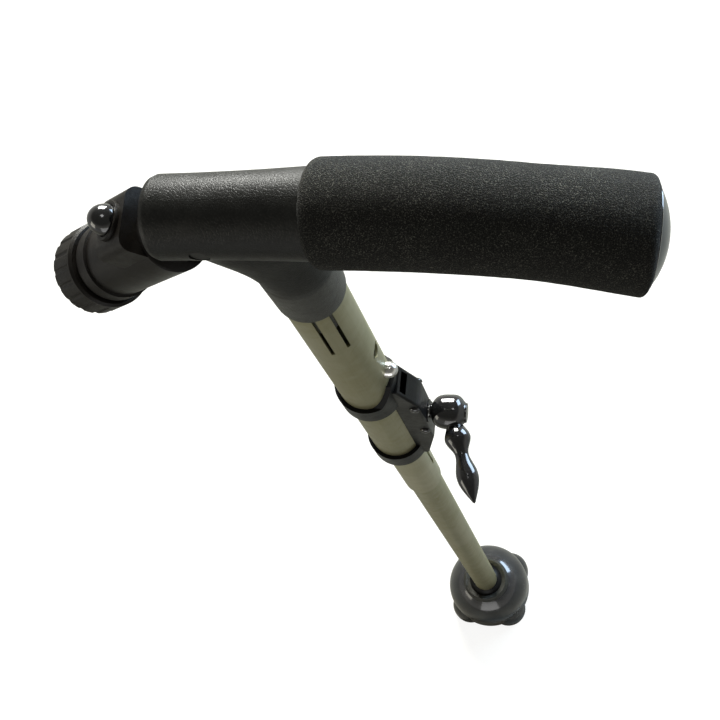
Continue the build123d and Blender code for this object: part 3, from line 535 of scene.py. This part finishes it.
@dataclass(frozen=True)
class Clear(Finish):
    """Clear moulded lens."""

    def wire(self, c: Canvas, shader: bpy.types.Node, place: NodeSocket) -> None:
        """Wire a clear body with a faint haze of handling.

        Args:
            c: canvas of the material.
            shader: its Principled BSDF.
            place: Object coordinates.
        """
        haze = MOTTLE.place(c, Vector=place, Scale=80.0, Roughness=self.roughness, Spread=0.05)
        colour = c.blend(haze.outputs["Mask"], self.colour, rgb(0.86, 0.9, 0.92))
        c.fill(shader, Base_Color=colour, Roughness=haze.outputs["Roughness"], Transmission_Weight=1.0, IOR=1.49)


class Palette:
    """The finishes of the cane, by the record's material slots."""

    HOUSING = Moulded("housing_black", rgb(0.0075, 0.0078, 0.0068), 0.42, grain=900.0, depth=0.035,
                      tint=rgb(0.0105, 0.011, 0.009), spread=0.14, specular=0.22, dust=0.05)
    FOAM = Foam("foam_black", rgb(0.0055, 0.0056, 0.0045), 0.95)
    GLOSS = Moulded("gloss_black", rgb(0.006, 0.006, 0.0065), 0.12, grain=300.0, depth=0.004,
                    tint=rgb(0.012, 0.012, 0.012), spread=0.08, coat=0.6, dust=0.04)
    CLAMP = Moulded("clamp_black", rgb(0.005, 0.005, 0.005), 0.34, grain=500.0, depth=0.012,
                    tint=rgb(0.010, 0.010, 0.010), spread=0.12, specular=0.12, dust=0.04)
    COLLAR = Moulded("collar_grey", rgb(0.016, 0.0165, 0.0135), 0.42, grain=1100.0, depth=0.03,
                     tint=rgb(0.024, 0.024, 0.019), spread=0.12)
    TUBE = Anodised("tube_bronze", rgb(0.33, 0.309, 0.18), 0.4, deep=rgb(0.26, 0.242, 0.137), metallic=0.75)
    SLEEVE = Anodised("sleeve_champagne", rgb(0.42, 0.397, 0.262), 0.42, deep=rgb(0.35, 0.328, 0.21),
                      metallic=0.75)
    TORCH = Moulded("torch_black", rgb(0.0065, 0.0056, 0.0046), 0.36, grain=1300.0, depth=0.02,
                    tint=rgb(0.0115, 0.0095, 0.0075), spread=0.14, specular=0.16)
    STEEL = Metal("bright_steel", rgb(0.74, 0.735, 0.71), 0.24)
    CHROME = Metal("reflector_chrome", rgb(0.86, 0.86, 0.87), 0.06)
    BRASS = Metal("contact_brass", rgb(0.72, 0.56, 0.28), 0.3)
    NYLON = Moulded("natural_nylon", rgb(0.62, 0.61, 0.55), 0.42, grain=900.0, depth=0.01,
                    tint=rgb(0.5, 0.49, 0.43), spread=0.1, dust=0.05)
    FOOT = Moulded("foot_black", rgb(0.010, 0.0105, 0.012), 0.2, grain=420.0, depth=0.006,
                   tint=rgb(0.014, 0.015, 0.018), spread=0.12, coat=0.7, dust=0.16, reach=0.09)
    RUBBER = Moulded("sole_rubber", rgb(0.018, 0.018, 0.018), 0.72, grain=700.0, depth=0.05,
                     tint=rgb(0.04, 0.038, 0.034), spread=0.14, dust=0.5, reach=0.03)
    WRAP = Moulded("cell_wrap", rgb(0.10, 0.17, 0.11), 0.3, grain=300.0, depth=0.003,
                   tint=rgb(0.12, 0.2, 0.13), spread=0.1, dust=0.0)
    BOARD = Moulded("board_lacquer", rgb(0.02, 0.12, 0.05), 0.3, grain=900.0, depth=0.01,
                    tint=rgb(0.03, 0.15, 0.06), dust=0.0)
    LED = Moulded("led_resin", rgb(0.75, 0.70, 0.42), 0.15, grain=900.0, depth=0.002,
                  tint=rgb(0.8, 0.78, 0.55), dust=0.0)
    LENS = Clear("lens_clear", rgb(0.97, 0.98, 0.98), 0.02)

    BY_SLOT = {
        "handle_plastic": HOUSING, "foam_black": FOAM, "gloss_black": GLOSS, "clamp_black": CLAMP,
        "collar_grey": COLLAR, "tube_bronze": TUBE, "sleeve_champagne": SLEEVE, "torch_black": TORCH,
        "steel": STEEL, "chrome": CHROME, "brass_plate": BRASS, "nylon": NYLON, "foot_black": FOOT,
        "sole_rubber": RUBBER, "buffer_rubber": RUBBER, "cell_wrap": WRAP, "board_green": BOARD,
        "led_white": LED, "lens_clear": LENS,
    }


# ---------------------------------------------------------------- studio


@dataclass(frozen=True)
class Lamp:
    """Square area lamp: where it hangs, the point it faces, its side in metres and its watts."""

    name: str
    spot: tuple[float, float, float]
    aim: tuple[float, float, float]
    size: float
    power: float
    colour: tuple[float, float, float] = (1.0, 1.0, 1.0)

    def build(self) -> None:
        """Hang the lamp and turn it to its point."""
        data = bpy.data.lights.new(self.name, "AREA")
        data.shape, data.size, data.energy, data.color = "SQUARE", self.size, self.power, self.colour
        lamp = bpy.data.objects.new(self.name, data)
        lamp.location = self.spot
        lamp.rotation_mode = "QUATERNION"
        lamp.rotation_quaternion = (Vector(self.aim) - Vector(self.spot)).to_track_quat("-Z", "Y")
        bpy.context.scene.collection.objects.link(lamp)


@dataclass(frozen=True)
class Studio:
    """Floor, lamps, world and camera. Pairs are the low and high end of a smooth change."""

    LAMPS = (
        Lamp("window", (-0.35, 1.7, 1.3), (0.0, 0.0, 0.8), 0.8, 102.0, (1.0, 1.0, 0.95)),
        Lamp("sky", (1.1, 1.3, 0.85), (0.0, 0.0, 0.1), 1.05, 50.0, (0.60, 0.78, 1.0)),
        Lamp("top", (0.2, 0.2, 2.5), (0.0, 0.0, 0.6), 0.45, 3.5),
        Lamp("front", (0.3, -2.1, 0.35), (0.0, 0.0, 0.6), 1.6, 14.0),
        Lamp("side", (-1.4, -1.0, 0.9), (0.0, 0.0, 0.5), 0.8, 6.0, (1.0, 0.95, 0.82)),
    )

    eye: tuple[float, float, float] = (0.1214, -0.1691, 1.3263)
    right: tuple[float, float, float] = (0.98124, 0.10111, -0.16416)
    up: tuple[float, float, float] = (-0.05215, 0.95890, 0.27890)
    lens: float = 75.0
    sensor: float = 36.0
    room_levels: tuple[float, float] = (0.14, 0.17)
    room_heights: tuple[float, float] = (-0.2, 0.9)
    room_colour: Colour = (1.0, 0.98, 0.9, 1.0)
    gloss_level: float = 0.45
    gloss_heights: tuple[float, float] = (0.1, 0.6)
    gloss_distances: tuple[float, float] = (0.9, 2.5)
    floor_reach: float = 40.0
    floor_colour: Colour = (0.2, 0.194, 0.168, 1.0)
    floor_glow: float = 0.88
    glow_distances: tuple[float, float] = (0.6, 2.5)

    def camera(self) -> None:
        """Set the camera over the grip, looking down the shaft."""
        data = bpy.data.cameras.new("view")
        data.lens, data.sensor_width = self.lens, self.sensor
        data.clip_start, data.clip_end = 0.01, 50.0
        camera = bpy.data.objects.new("view", data)
        right, up = Vector(self.right).normalized(), Vector(self.up)
        up = (up - right * up.dot(right)).normalized()
        back = right.cross(up)
        turn = Matrix((right, up, back)).transposed()
        camera.matrix_world = Matrix.Translation(self.eye) @ turn.to_4x4()
        bpy.context.scene.collection.objects.link(camera)
        bpy.context.scene.camera = camera

    def world(self) -> None:
        """White surroundings to the eye; to the cane a dim room, white in reflections near the horizon."""
        world = bpy.data.worlds.new("studio")
        world.use_nodes = True
        bpy.context.scene.world = world
        c = Canvas(world.node_tree)
        ground = world.node_tree.nodes["Background"]
        path = c.add("ShaderNodeLightPath")
        height = c.add("ShaderNodeSeparateXYZ", None, Vector=c.add("ShaderNodeTexCoord").outputs["Generated"])
        room = c.remap(height.outputs["Z"], *self.room_heights, *self.room_levels)
        plain = c.math("MAXIMUM", path.outputs["Is Camera Ray"], path.outputs["Is Transmission Ray"])
        band = c.remap(c.math("ABSOLUTE", height.outputs["Z"]), *self.gloss_heights, self.gloss_level, 0.0)
        room = c.math("ADD", room, c.times(path.outputs["Is Glossy Ray"], band))
        level = c.math("ADD", plain, c.times(c.math("SUBTRACT", 1.0, plain), room))
        c.fill(ground, Color=c.blend(plain, self.room_colour, WHITE), Strength=level)

    def floor(self) -> None:
        """Plain pale floor that stays white to the camera and keeps the shadow."""
        mesh = bpy.data.meshes.new("floor")
        size = self.floor_reach
        corners = [(-size, -size, 0), (size, -size, 0), (size, size, 0), (-size, size, 0)]
        mesh.from_pydata(corners, [], [(0, 1, 2, 3)])
        floor = bpy.data.objects.new("floor", mesh)
        bpy.context.scene.collection.objects.link(floor)
        material = bpy.data.materials.new("studio_floor")
        material.use_nodes = True
        c = Canvas(material.node_tree)
        shader = material.node_tree.nodes["Principled BSDF"]
        c.fill(shader, Base_Color=self.floor_colour, Roughness=0.9, Specular_IOR_Level=0.1, Emission_Color=WHITE)
        path = c.add("ShaderNodeLightPath")
        place = c.add("ShaderNodeTexCoord").outputs["Object"]
        away = c.add("ShaderNodeVectorMath", {"operation": "LENGTH"}, i0=place).outputs["Value"]
        glow = c.remap(away, *self.glow_distances, self.floor_glow, 1.0)
        seen = c.math("MAXIMUM", path.outputs["Is Camera Ray"], path.outputs["Is Transmission Ray"])
        far = c.remap(away, *self.gloss_distances, 0.0, self.gloss_level)
        gloss = c.times(path.outputs["Is Glossy Ray"], far)
        c.fill(shader, Emission_Strength=c.math("ADD", c.times(seen, glow), gloss))
        mesh.materials.append(material)

    def build(self) -> None:
        """Make the whole studio."""
        scene = bpy.context.scene
        scene.view_settings.view_transform = "Standard"
        self.camera()
        self.world()
        self.floor()
        for lamp in self.LAMPS:
            lamp.build()


# ---------------------------------------------------------------- pieces


def new_object(name: str, mesh: bpy.types.Mesh) -> bpy.types.Object:
    """Link a mesh to the scene as an object at the origin.

    Args:
        name: the object's name.
        mesh: its mesh.

    Returns:
        The object.
    """
    item = bpy.data.objects.new(name, mesh)
    bpy.context.scene.collection.objects.link(item)
    return item


def shade(mesh: bpy.types.Mesh, sharp: float = 45.0) -> None:
    """Shade a mesh smooth.

    Args:
        mesh: the mesh to change.
        sharp: angle in degrees over which an edge stays sharp.
    """
    for face in mesh.polygons:
        face.use_smooth = True
    mesh.set_sharp_from_angle(angle=math.radians(sharp))


def settle(item: bpy.types.Object) -> bpy.types.Object:
    """Turn an object's evaluated shape into its own plain mesh.

    Args:
        item: object with modifiers.

    Returns:
        The same object, with no modifiers.
    """
    bpy.context.view_layer.update()
    graph = bpy.context.evaluated_depsgraph_get()
    mesh = bpy.data.meshes.new_from_object(item.evaluated_get(graph), depsgraph=graph)
    item.modifiers.clear()
    item.data = mesh
    mesh.name = item.name
    return item


def clean(mesh: bpy.types.Mesh, flat: float = 0.0) -> bpy.types.Mesh:
    """Merge a mesh's doubled vertices and face it outwards.

    Args:
        mesh: the mesh to change.
        flat: angle in degrees under which faces are joined, or 0 to join none.

    Returns:
        The same mesh.
    """
    work = bmesh.new()
    work.from_mesh(mesh)
    bmesh.ops.remove_doubles(work, verts=work.verts, dist=MERGE)
    if flat:
        bmesh.ops.dissolve_limit(work, angle_limit=math.radians(flat), verts=work.verts, edges=work.edges)
    bmesh.ops.dissolve_degenerate(work, edges=work.edges, dist=1e-7)
    bmesh.ops.recalc_face_normals(work, faces=work.faces)
    work.to_mesh(mesh)
    work.free()
    stale = mesh.attributes.get("custom_normal")
    if stale:
        mesh.attributes.remove(stale)
    return mesh


def islands(node: str) -> list[tuple[Vector, Vector]]:
    """Find the boxes of a CAD node's loose parts.

    Args:
        node: name of the node.

    Returns:
        The lowest and highest corner of each part.
    """
    work = bmesh.new()
    work.from_mesh(frame["nodes"][node].data)
    bmesh.ops.remove_doubles(work, verts=work.verts, dist=MERGE)
    left, boxes = set(work.verts), []
    while left:
        stack, part = [left.pop()], []
        while stack:
            vert = stack.pop()
            part.append(vert.co.copy())
            for edge in vert.link_edges:
                other = edge.other_vert(vert)
                if other in left:
                    left.remove(other)
                    stack.append(other)
        low = Vector(min(p[i] for p in part) for i in range(3))
        high = Vector(max(p[i] for p in part) for i in range(3))
        boxes.append((low, high))
    work.free()
    return sorted(boxes, key=lambda box: tuple(box[0]))


def turned(rows: Sequence[tuple[float, float, float]], sides: int = 48) -> bpy.types.Mesh:
    """Closed solid turned about Z.

    Args:
        rows: radius, height and share of a hexagon, in mm, from one end to the other.
        sides: points round each row.

    Returns:
        The mesh, in metres.
    """
    points, faces = [], []
    for radius, height, hexagon in rows:
        for step in range(sides):
            angle = 2 * math.pi * step / sides
            flat = math.cos(math.pi / 6) / math.cos(angle % (math.pi / 3) - math.pi / 6)
            reach = radius * (1 + hexagon * (flat - 1)) * MM
            points.append((reach * math.cos(angle), reach * math.sin(angle), height * MM))
    for row in range(len(rows) - 1):
        for step in range(sides):
            after = (step + 1) % sides
            a, b = row * sides, (row + 1) * sides
            faces.append((a + step, a + after, b + after, b + step))
    mesh = bpy.data.meshes.new("turned")
    mesh.from_pydata(points, [], faces)
    return clean(mesh)


def finish_piece(piece: bpy.types.Object, body: Body, slot: str, *nodes: str) -> bpy.types.Object:
    """Give a piece its finish and tie it to the frame.

    Args:
        piece: the finished mesh object.
        body: what it rides on.
        slot: the record's material slot.
        *nodes: CAD nodes that it stands for.

    Returns:
        The piece.
    """
    piece.data.materials.clear()
    piece.data.materials.append(Palette.BY_SLOT[slot].material())
    for face in piece.data.polygons:
        face.material_index = 0
    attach(piece, body.value)
    if nodes:
        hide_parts(*nodes)
    log.info("made %s with %d faces", piece.name, len(piece.data.polygons))
    return piece


@dataclass(frozen=True)
class Generator:
    """A Geometry Nodes tree with named inputs, ending in realized geometry with a material."""

    name: str
    inputs: tuple[tuple[str, str, Optional[float]], ...]
    wiring: Callable[[Canvas, bpy.types.Node], NodeSocket]

    def tree(self) -> bpy.types.NodeTree:
        """Build the tree the first time it is asked for.

        Returns:
            The node tree.
        """
        found = bpy.data.node_groups.get(self.name)
        if found:
            return found
        tree = bpy.data.node_groups.new(self.name, "GeometryNodeTree")
        face = tree.interface
        face.new_socket("Geometry", in_out="INPUT", socket_type="NodeSocketGeometry")
        face.new_socket("Material", in_out="INPUT", socket_type="NodeSocketMaterial")
        for name, kind, value in self.inputs:
            socket = face.new_socket(name, in_out="INPUT", socket_type=kind)
            if value is not None:
                socket.default_value = value
        face.new_socket("Geometry", in_out="OUTPUT", socket_type="NodeSocketGeometry")
        c = Canvas(tree)
        source, sink = c.add("NodeGroupInput"), c.add("NodeGroupOutput")
        real = c.add("GeometryNodeRealizeInstances", None, Geometry=self.wiring(c, source))
        painted = c.add("GeometryNodeSetMaterial", None, Geometry=real, Material=source.outputs["Material"])
        c.fill(sink, Geometry=painted)
        return tree

    def run(self, name: str, mesh: bpy.types.Mesh, slot: str, **values: object) -> bpy.types.Object:
        """Run the tree on a mesh.

        Args:
            name: name of the new object.
            mesh: input geometry.
            slot: the record's material slot.
            **values: the tree's inputs, underscores for spaces.

        Returns:
            An object with a plain mesh.
        """
        item = new_object(name, mesh)
        modifier = item.modifiers.new("shape", "NODES")
        modifier.node_group = self.tree()
        sockets = {s.name: s.identifier for s in self.tree().interface.items_tree if s.in_out == "INPUT"}
        modifier[sockets["Material"]] = Palette.BY_SLOT[slot].material()
        for key, value in values.items():
            modifier[sockets[key.replace("_", " ")]] = value
        settle(item)
        shade(clean(item.data))
        return item


def _wire_arched(c: Canvas, source: bpy.types.Node) -> NodeSocket:
    """Turn a profile about an arched centre line, with a soft unevenness.

    Args:
        c: canvas of the tree.
        source: its input node; the geometry is the profile, with distance in X and radius in Y.

    Returns:
        The turned geometry.
    """
    profile = source.outputs["Geometry"]
    rows = c.add("GeometryNodeAttributeDomainSize", {"component": "MESH"}, Geometry=profile)
    columns = c.math("ADD", source.outputs["Sides"], 1.0)
    grid = c.add("GeometryNodeMeshGrid", None, Vertices_X=rows.outputs["Point Count"], Vertices_Y=columns)
    index = c.add("GeometryNodeInputIndex").outputs[0]
    row = c.math("FLOOR", c.math("DIVIDE", c.math("ADD", index, 0.5), columns))
    column = c.math("SUBTRACT", index, c.times(row, columns))
    sample = c.add("GeometryNodeSampleIndex", {"data_type": "FLOAT_VECTOR"}, Geometry=profile,
                   Value=c.add("GeometryNodeInputPosition"), Index=row)
    part = c.add("ShaderNodeSeparateXYZ", None, Vector=sample.outputs[0])
    turn = c.times(c.math("DIVIDE", column, source.outputs["Sides"]), 2 * math.pi)
    upward = c.times(part.outputs["Y"], c.math("COSINE", turn))
    before_end = c.math("SUBTRACT", source.outputs["End"], source.outputs["Lean Run"])
    near_end = c.remap(part.outputs["X"], before_end, source.outputs["End"])
    across = c.math("DIVIDE", upward, source.outputs["Lean Radius"])
    lean = c.times(c.times(near_end, across), source.outputs["Lean"])
    angle = c.math("DIVIDE", c.math("SUBTRACT", part.outputs["X"], lean), source.outputs["Arch Radius"])
    reach = c.math("ADD", source.outputs["Arch Radius"], upward)
    x = c.math("ADD", source.outputs["Apex X"], c.times(reach, c.math("SINE", angle)))
    y = c.times(part.outputs["Y"], c.math("SINE", turn))
    z = c.math("ADD", source.outputs["Centre Z"], c.times(reach, c.math("COSINE", angle)))
    swept = c.add("GeometryNodeSetPosition", None, Geometry=grid.outputs["Mesh"], Position=c.vector(x, y, z))
    closed = c.add("GeometryNodeMergeByDistance", None, Geometry=swept, Distance=MERGE)
    noise = c.add("ShaderNodeTexNoise", None, Scale=source.outputs["Grain"], Detail=3.0)
    lift = c.times(c.math("SUBTRACT", noise.outputs["Fac"], 0.5), source.outputs["Uneven"])
    push = c.add("ShaderNodeVectorMath", {"operation": "SCALE"}, i0=c.add("GeometryNodeInputNormal"), Scale=lift)
    return c.add("GeometryNodeSetPosition", None, Geometry=closed, Offset=push.outputs[0]).outputs[0]


def _wire_fasteners(c: Canvas, source: bpy.types.Node) -> NodeSocket:
    """Set one fastener on every point, each spun by its own amount about its axis.

    Args:
        c: canvas of the tree.
        source: its input node; the geometry is the points.

    Returns:
        The placed fasteners.
    """
    item = c.add("GeometryNodeObjectInfo", None, Object=source.outputs["Item"])
    spin = c.add("FunctionNodeRandomValue", {"data_type": "FLOAT"}, Seed=source.outputs["Seed"])
    c.put(next(s for s in spin.inputs if s.name == "Min" and s.enabled), 0.0)
    c.put(next(s for s in spin.inputs if s.name == "Max" and s.enabled), source.outputs["Spin"])
    facing = c.add("FunctionNodeEulerToRotation", None, Euler=source.outputs["Facing"])
    about = c.add("FunctionNodeEulerToRotation", None, Euler=c.vector(0.0, 0.0, spin))
    turn = c.add("FunctionNodeRotateRotation", {"rotation_space": "LOCAL"}, Rotation=facing, Rotate_By=about)
    placed = c.add("GeometryNodeInstanceOnPoints", None, Points=source.outputs["Geometry"],
                   Instance=item.outputs["Geometry"], Rotation=turn)
    return placed.outputs[0]


INT = "NodeSocketInt"
ARCHED = Generator("arched_turning", (("Arch Radius", NUM, 0.225), ("Apex X", NUM, 0.05),
                                      ("Centre Z", NUM, 0.669), ("End", NUM, 0.08), ("Lean", NUM, 0.0),
                                      ("Lean Run", NUM, 0.03), ("Lean Radius", NUM, 0.018),
                                      ("Sides", INT, 96), ("Grain", NUM, 500.0), ("Uneven", NUM, 0.0)),
                   _wire_arched)
FASTENERS = Generator("placed_fasteners", (("Item", "NodeSocketObject", None), ("Facing", VEC, None),
                                           ("Spin", NUM, 0.5), ("Seed", INT, 3)), _wire_fasteners)


@dataclass(frozen=True)
class Grip:
    """Foam grip and its end plug on the arched handle line, in mm."""

    arch: float = 225.0
    apex: float = 50.0
    centre: float = 669.0
    front: float = 16.5
    rear: float = 122.0
    radius: float = 18.0
    swell: float = 0.12
    flare: float = 1.35
    flare_from: float = 0.62    # share of the length where the flare starts
    front_round: float = 3.0
    rear_round: float = 2.6
    core: float = 11.1
    plug_radius: float = 16.75
    plug_seat: float = 5.0
    plug_dome: float = 5.2
    fit: float = 0.05           # room between the plug and its seat
    lean: float = 3.0
    lean_run: float = 30.0      # length before the plug's seat over which the end starts to lean
    lean_radius: float = 18.0   # height over the arch at which it leans in full
    uneven: float = 0.22        # height of the foam's unevenness
    grain: float = 330.0        # its scale
    sides: int = 112

    def along(self, x: float) -> float:
        """Distance along the arch, from its top, of a place along the grip."""
        return self.arch * math.asin((x - self.apex) / self.arch)

    def skin(self, share: float) -> float:
        """Work out the radius of the foam.

        Args:
            share: place along the foam, from 0 in front to 1 at the rear.

        Returns:
            The radius in mm.
        """
        bell = max(0.0, (share - self.flare_from) / (1 - self.flare_from))
        bell = bell * bell * (3 - 2 * bell)
        hand = self.swell * math.sin(math.pi * min(share / self.flare_from, 1.0))
        return self.radius + hand + self.flare * bell

    def foam_profile(self) -> list[tuple[float, float]]:
        """Draw the closed profile of the foam: front face, skin, rear face, plug seat and bore.

        Returns:
            Distance and radius of each row.
        """
        start, end = self.along(self.front), self.along(self.rear)
        length = end - start
        rows = [(start, self.core), (start, self.core + 3), (start, self.skin(0) - self.front_round)]
        for step in range(1, 9):
            q = math.pi / 2 * step / 9
            lift = self.front_round * math.sin(q) - self.front_round
            rows.append((start + self.front_round * (1 - math.cos(q)), self.skin(0) + lift))
        first, last = self.front_round / length, 1 - self.rear_round / length
        for step in range(81):
            share = first + (last - first) * step / 80
            rows.append((start + length * share, self.skin(share)))
        for step in range(1, 9):
            q = math.pi / 2 * step / 8
            lift = self.rear_round * math.cos(q) - self.rear_round
            rows.append((end - self.rear_round * (1 - math.sin(q)), self.skin(1) + lift))
        seat = end - self.plug_seat
        bore = self.plug_radius + self.fit
        rows += [(end, bore), (seat, bore), (seat, self.core)]
        rows += [(seat + (start - seat) * step / 30, self.core) for step in range(1, 31)]
        return rows

    def plug_profile(self) -> list[tuple[float, float]]:
        """Draw the profile of the end plug: seat, rim with a small round, and dome.

        Returns:
            Distance and radius of each row.
        """
        end = self.along(self.rear)
        bottom = end - self.plug_seat + self.fit
        rows = [(bottom, 0.0), (bottom, self.plug_radius), (end - 0.1, self.plug_radius),
                (end + 0.35, self.plug_radius - 0.12)]
        for step in range(1, 25):
            reach = (self.plug_radius - 0.5) * math.cos(math.pi / 2 * step / 24)
            rise = self.plug_dome * (1 - (reach / self.plug_radius) ** 2.2)
            rows.append((end + max(0.5, rise), reach))
        return rows

    def make(self, name: str, rows: Sequence[tuple[float, float]], slot: str, uneven: float) -> bpy.types.Object:
        """Turn a profile about the arch.

        Args:
            name: the piece's name.
            rows: distance and radius of each row.
            slot: the record's material slot.
            uneven: height of the surface's unevenness, in mm.

        Returns:
            The piece.
        """
        mesh = bpy.data.meshes.new(name)
        mesh.from_pydata([(s * MM, r * MM, 0) for s, r in rows], [(i, i + 1) for i in range(len(rows) - 1)], [])
        return ARCHED.run(name, mesh, slot, Arch_Radius=self.arch * MM, Apex_X=self.apex * MM,
                          Centre_Z=self.centre * MM, End=(self.along(self.rear) - self.plug_seat) * MM,
                          Lean=self.lean * MM, Lean_Run=self.lean_run * MM, Lean_Radius=self.lean_radius * MM,
                          Sides=self.sides, Grain=self.grain, Uneven=uneven * MM)

    def build(self) -> None:
        """Make the foam and the plug."""
        foam = self.make("foam_grip_skin", self.foam_profile(), "foam_black", self.uneven)
        finish_piece(foam, Body.UPPER, "foam_black", "foam_grip")
        plug = self.make("grip_end_dome", self.plug_profile(), "gloss_black", 0.0)
        finish_piece(plug, Body.UPPER, "gloss_black", "grip_end_plug")


@dataclass(frozen=True)
class Softened:
    """A CAD node shown with softened edges and smooth turns."""

    node: str
    body: Body
    width: float = 0.4
    segments: int = 2
    angle: float = 30.0
    sharp: float = 42.0
    flat: float = 0.6

    def build(self) -> None:
        """Copy, merge, bevel and shade the node."""
        source = frame["nodes"][self.node]
        slot = next(e["material_slot"] for e in frame["record"]["subparts"] if e["node"] == self.node)
        piece = new_object(self.node + "_skin", clean(source.data.copy(), self.flat))
        bevel = piece.modifiers.new("edges", "BEVEL")
        bevel.width, bevel.segments = self.width * MM, self.segments
        bevel.limit_method, bevel.angle_limit = "ANGLE", math.radians(self.angle)
        bevel.miter_outer = "MITER_ARC"
        shade(settle(piece).data, self.sharp)
        weigh = piece.modifiers.new("weigh", "WEIGHTED_NORMAL")
        weigh.keep_sharp = True
        settle(piece)
        finish_piece(piece, self.body, slot, self.node)


SOFTENED = (
    Softened("handle_shell_left", Body.UPPER, 0.3),
    Softened("handle_shell_right", Body.UPPER, 0.3),
    Softened("torch_body", Body.TORCH, 0.5, 3),
    Softened("torch_head_ring", Body.TORCH, 0.3),
    Softened("torch_button_ring", Body.TORCH, 0.3),
    Softened("collar", Body.UPPER, 0.3),
    Softened("outer_tube", Body.UPPER, 0.15, 1),
    Softened("reducer_sleeve", Body.UPPER, 0.25),
    Softened("clamp_body", Body.UPPER, 0.45, 3),
    Softened("clamp_lever", Body.LEVER, 0.4),
    Softened("torch_pivot_pin", Body.UPPER, 0.3),
    Softened("foot_dome", Body.FOOT, 0.8, 3),
    Softened("sole", Body.FOOT, 0.5),
)


def joint(name: str) -> dict:
    """A joint of the record by name."""
    return next(j for j in frame["joints"] if j["name"] == name)


@dataclass(frozen=True)
class TorchButton:
    """High-gloss dome of the torch's push button, in mm."""

    out: float = 19.5
    ahead: float = 30.5
    radius: float = 5.55
    skirt: float = 1.6
    base: float = 1.5
    top: float = 8.0

    def build(self) -> None:
        """Turn the dome and set it in the saddle."""
        rows = [(0.0, -self.skirt, 0.0), (self.radius, -self.skirt, 0.0), (self.radius, self.base, 0.0)]
        for step in range(1, 25):
            q = math.pi / 2 * step / 24
            rows.append((self.radius * math.cos(q), self.base + (self.top - self.base) * math.sin(q), 0.0))
        mesh = turned(rows, 72)
        up = -Vector(joint("torch_switch_press")["axis"])
        side = Vector((0, 1, 0))
        ahead = up.cross(side)
        origin = Vector(joint("torch_tilt")["pos_m"]) + (up * self.out + ahead * self.ahead) * MM
        turn = Matrix((ahead, side, up)).transposed().to_4x4()
        mesh.transform(Matrix.Translation(origin) @ turn)
        # The turn mirrors the dome, so its faces are turned outwards again.
        piece = settle(new_object("torch_button_dome", clean(mesh)))
        shade(piece.data)
        finish_piece(piece, Body.TORCH_BUTTON, "gloss_black", "torch_button")


@dataclass(frozen=True)
class Fasteners:
    """Screws whose heads show, in mm: hexagon sockets in the handle and domed heads on the clamp."""

    socket: tuple[tuple[float, float, float], ...] = (
        (0.0, 0.0, 0.0), (2.86, 0.0, 0.0), (2.86, 1.55, 0.0), (2.5, 1.95, 0.0), (1.55, 1.98, 0.6),
        (1.4, 1.85, 1.0), (1.35, 0.9, 1.0), (0.0, 0.7, 1.0))
    socket_height: float = 2.0
    head_radius: float = 2.4
    head_height: float = 1.7
    shank_radius: float = 1.32
    shank_depth: float = 1.0
    rim: float = 0.18           # height of the straight edge under a head's dome
    outside: float = 5.0        # heads lie further from the middle plane than this

    def dome(self) -> list[tuple[float, float, float]]:
        """Draw a domed head on a short shank.

        Returns:
            Rows for turned.
        """
        radius, shank, depth = self.head_radius, self.shank_radius, self.shank_depth
        rows = [(0.0, -depth, 0.0), (shank, -depth, 0.0), (shank, 0.0, 0.0), (radius, 0.0, 0.0),
                (radius, self.rim, 0.0)]
        for step in range(1, 15):
            q = math.pi / 2 * step / 14
            rows.append((radius * math.cos(q), self.rim + (self.head_height - self.rim) * math.sin(q), 0.0))
        return rows

    def scatter(self, name: str, rows: Sequence[tuple[float, float, float]], spots: Sequence[Vector],
                facing: float, slot: str, node: str) -> None:
        """Set a turned fastener on each spot, as one piece on the upper shaft.

        Args:
            name: the piece's name.
            rows: profile of the fastener.
            spots: where each one's base is.
            facing: 1 to face +Y, -1 to face -Y.
            slot: the record's material slot.
            node: CAD node that the piece stands for.
        """
        item = new_object(name + "_item", turned(rows))
        points = bpy.data.meshes.new(name)
        points.from_pydata([tuple(spot) for spot in spots], [], [])
        outward = (-facing * math.pi / 2, 0.0, 0.0)
        piece = FASTENERS.run(name, points, slot, Item=item, Facing=outward, Spin=1.0, Seed=5)
        bpy.data.objects.remove(item)
        finish_piece(piece, Body.UPPER, slot, node)

    def build(self) -> None:
        """Place the handle's and the clamp's screws."""
        deep = [Vector(((low.x + high.x) / 2, high.y - self.socket_height * MM, (low.z + high.z) / 2))
                for low, high in islands("handle_screws")]
        self.scatter("handle_screw_heads", self.socket, deep, 1.0, "steel", "handle_screws")
        boxes = islands("clamp_side_screws")
        for side, facing in (("left", 1.0), ("right", -1.0)):
            spots = []
            for low, high in boxes:
                outer = high.y if facing > 0 else low.y
                if outer * facing > self.outside * MM:
                    base = outer - facing * self.head_height * MM
                    spots.append(Vector(((low.x + high.x) / 2, base, (low.z + high.z) / 2)))
            self.scatter("clamp_rivets_" + side, self.dome(), spots, facing, "gloss_black", "clamp_side_screws")


# ---------------------------------------------------------------- main


def dress_frame() -> None:
    """Give every CAD node the finish of its material slot."""
    for entry in frame["record"]["subparts"]:
        node = frame["nodes"][entry["node"]]
        finish = Palette.BY_SLOT[entry["material_slot"]]
        for slot in node.material_slots:
            slot.material = finish.material()
        log.info("dressed %s in %s", node.name, finish.name)


def main() -> None:
    """Build the studio and dress the cane."""
    logging.basicConfig(level=logging.INFO, format="%(name)s: %(message)s")
    Studio().build()
    dress_frame()
    Grip().build()
    TorchButton().build()
    Fasteners().build()
    for softened in SOFTENED:
        softened.build()


if __name__ == "__main__":
    main()
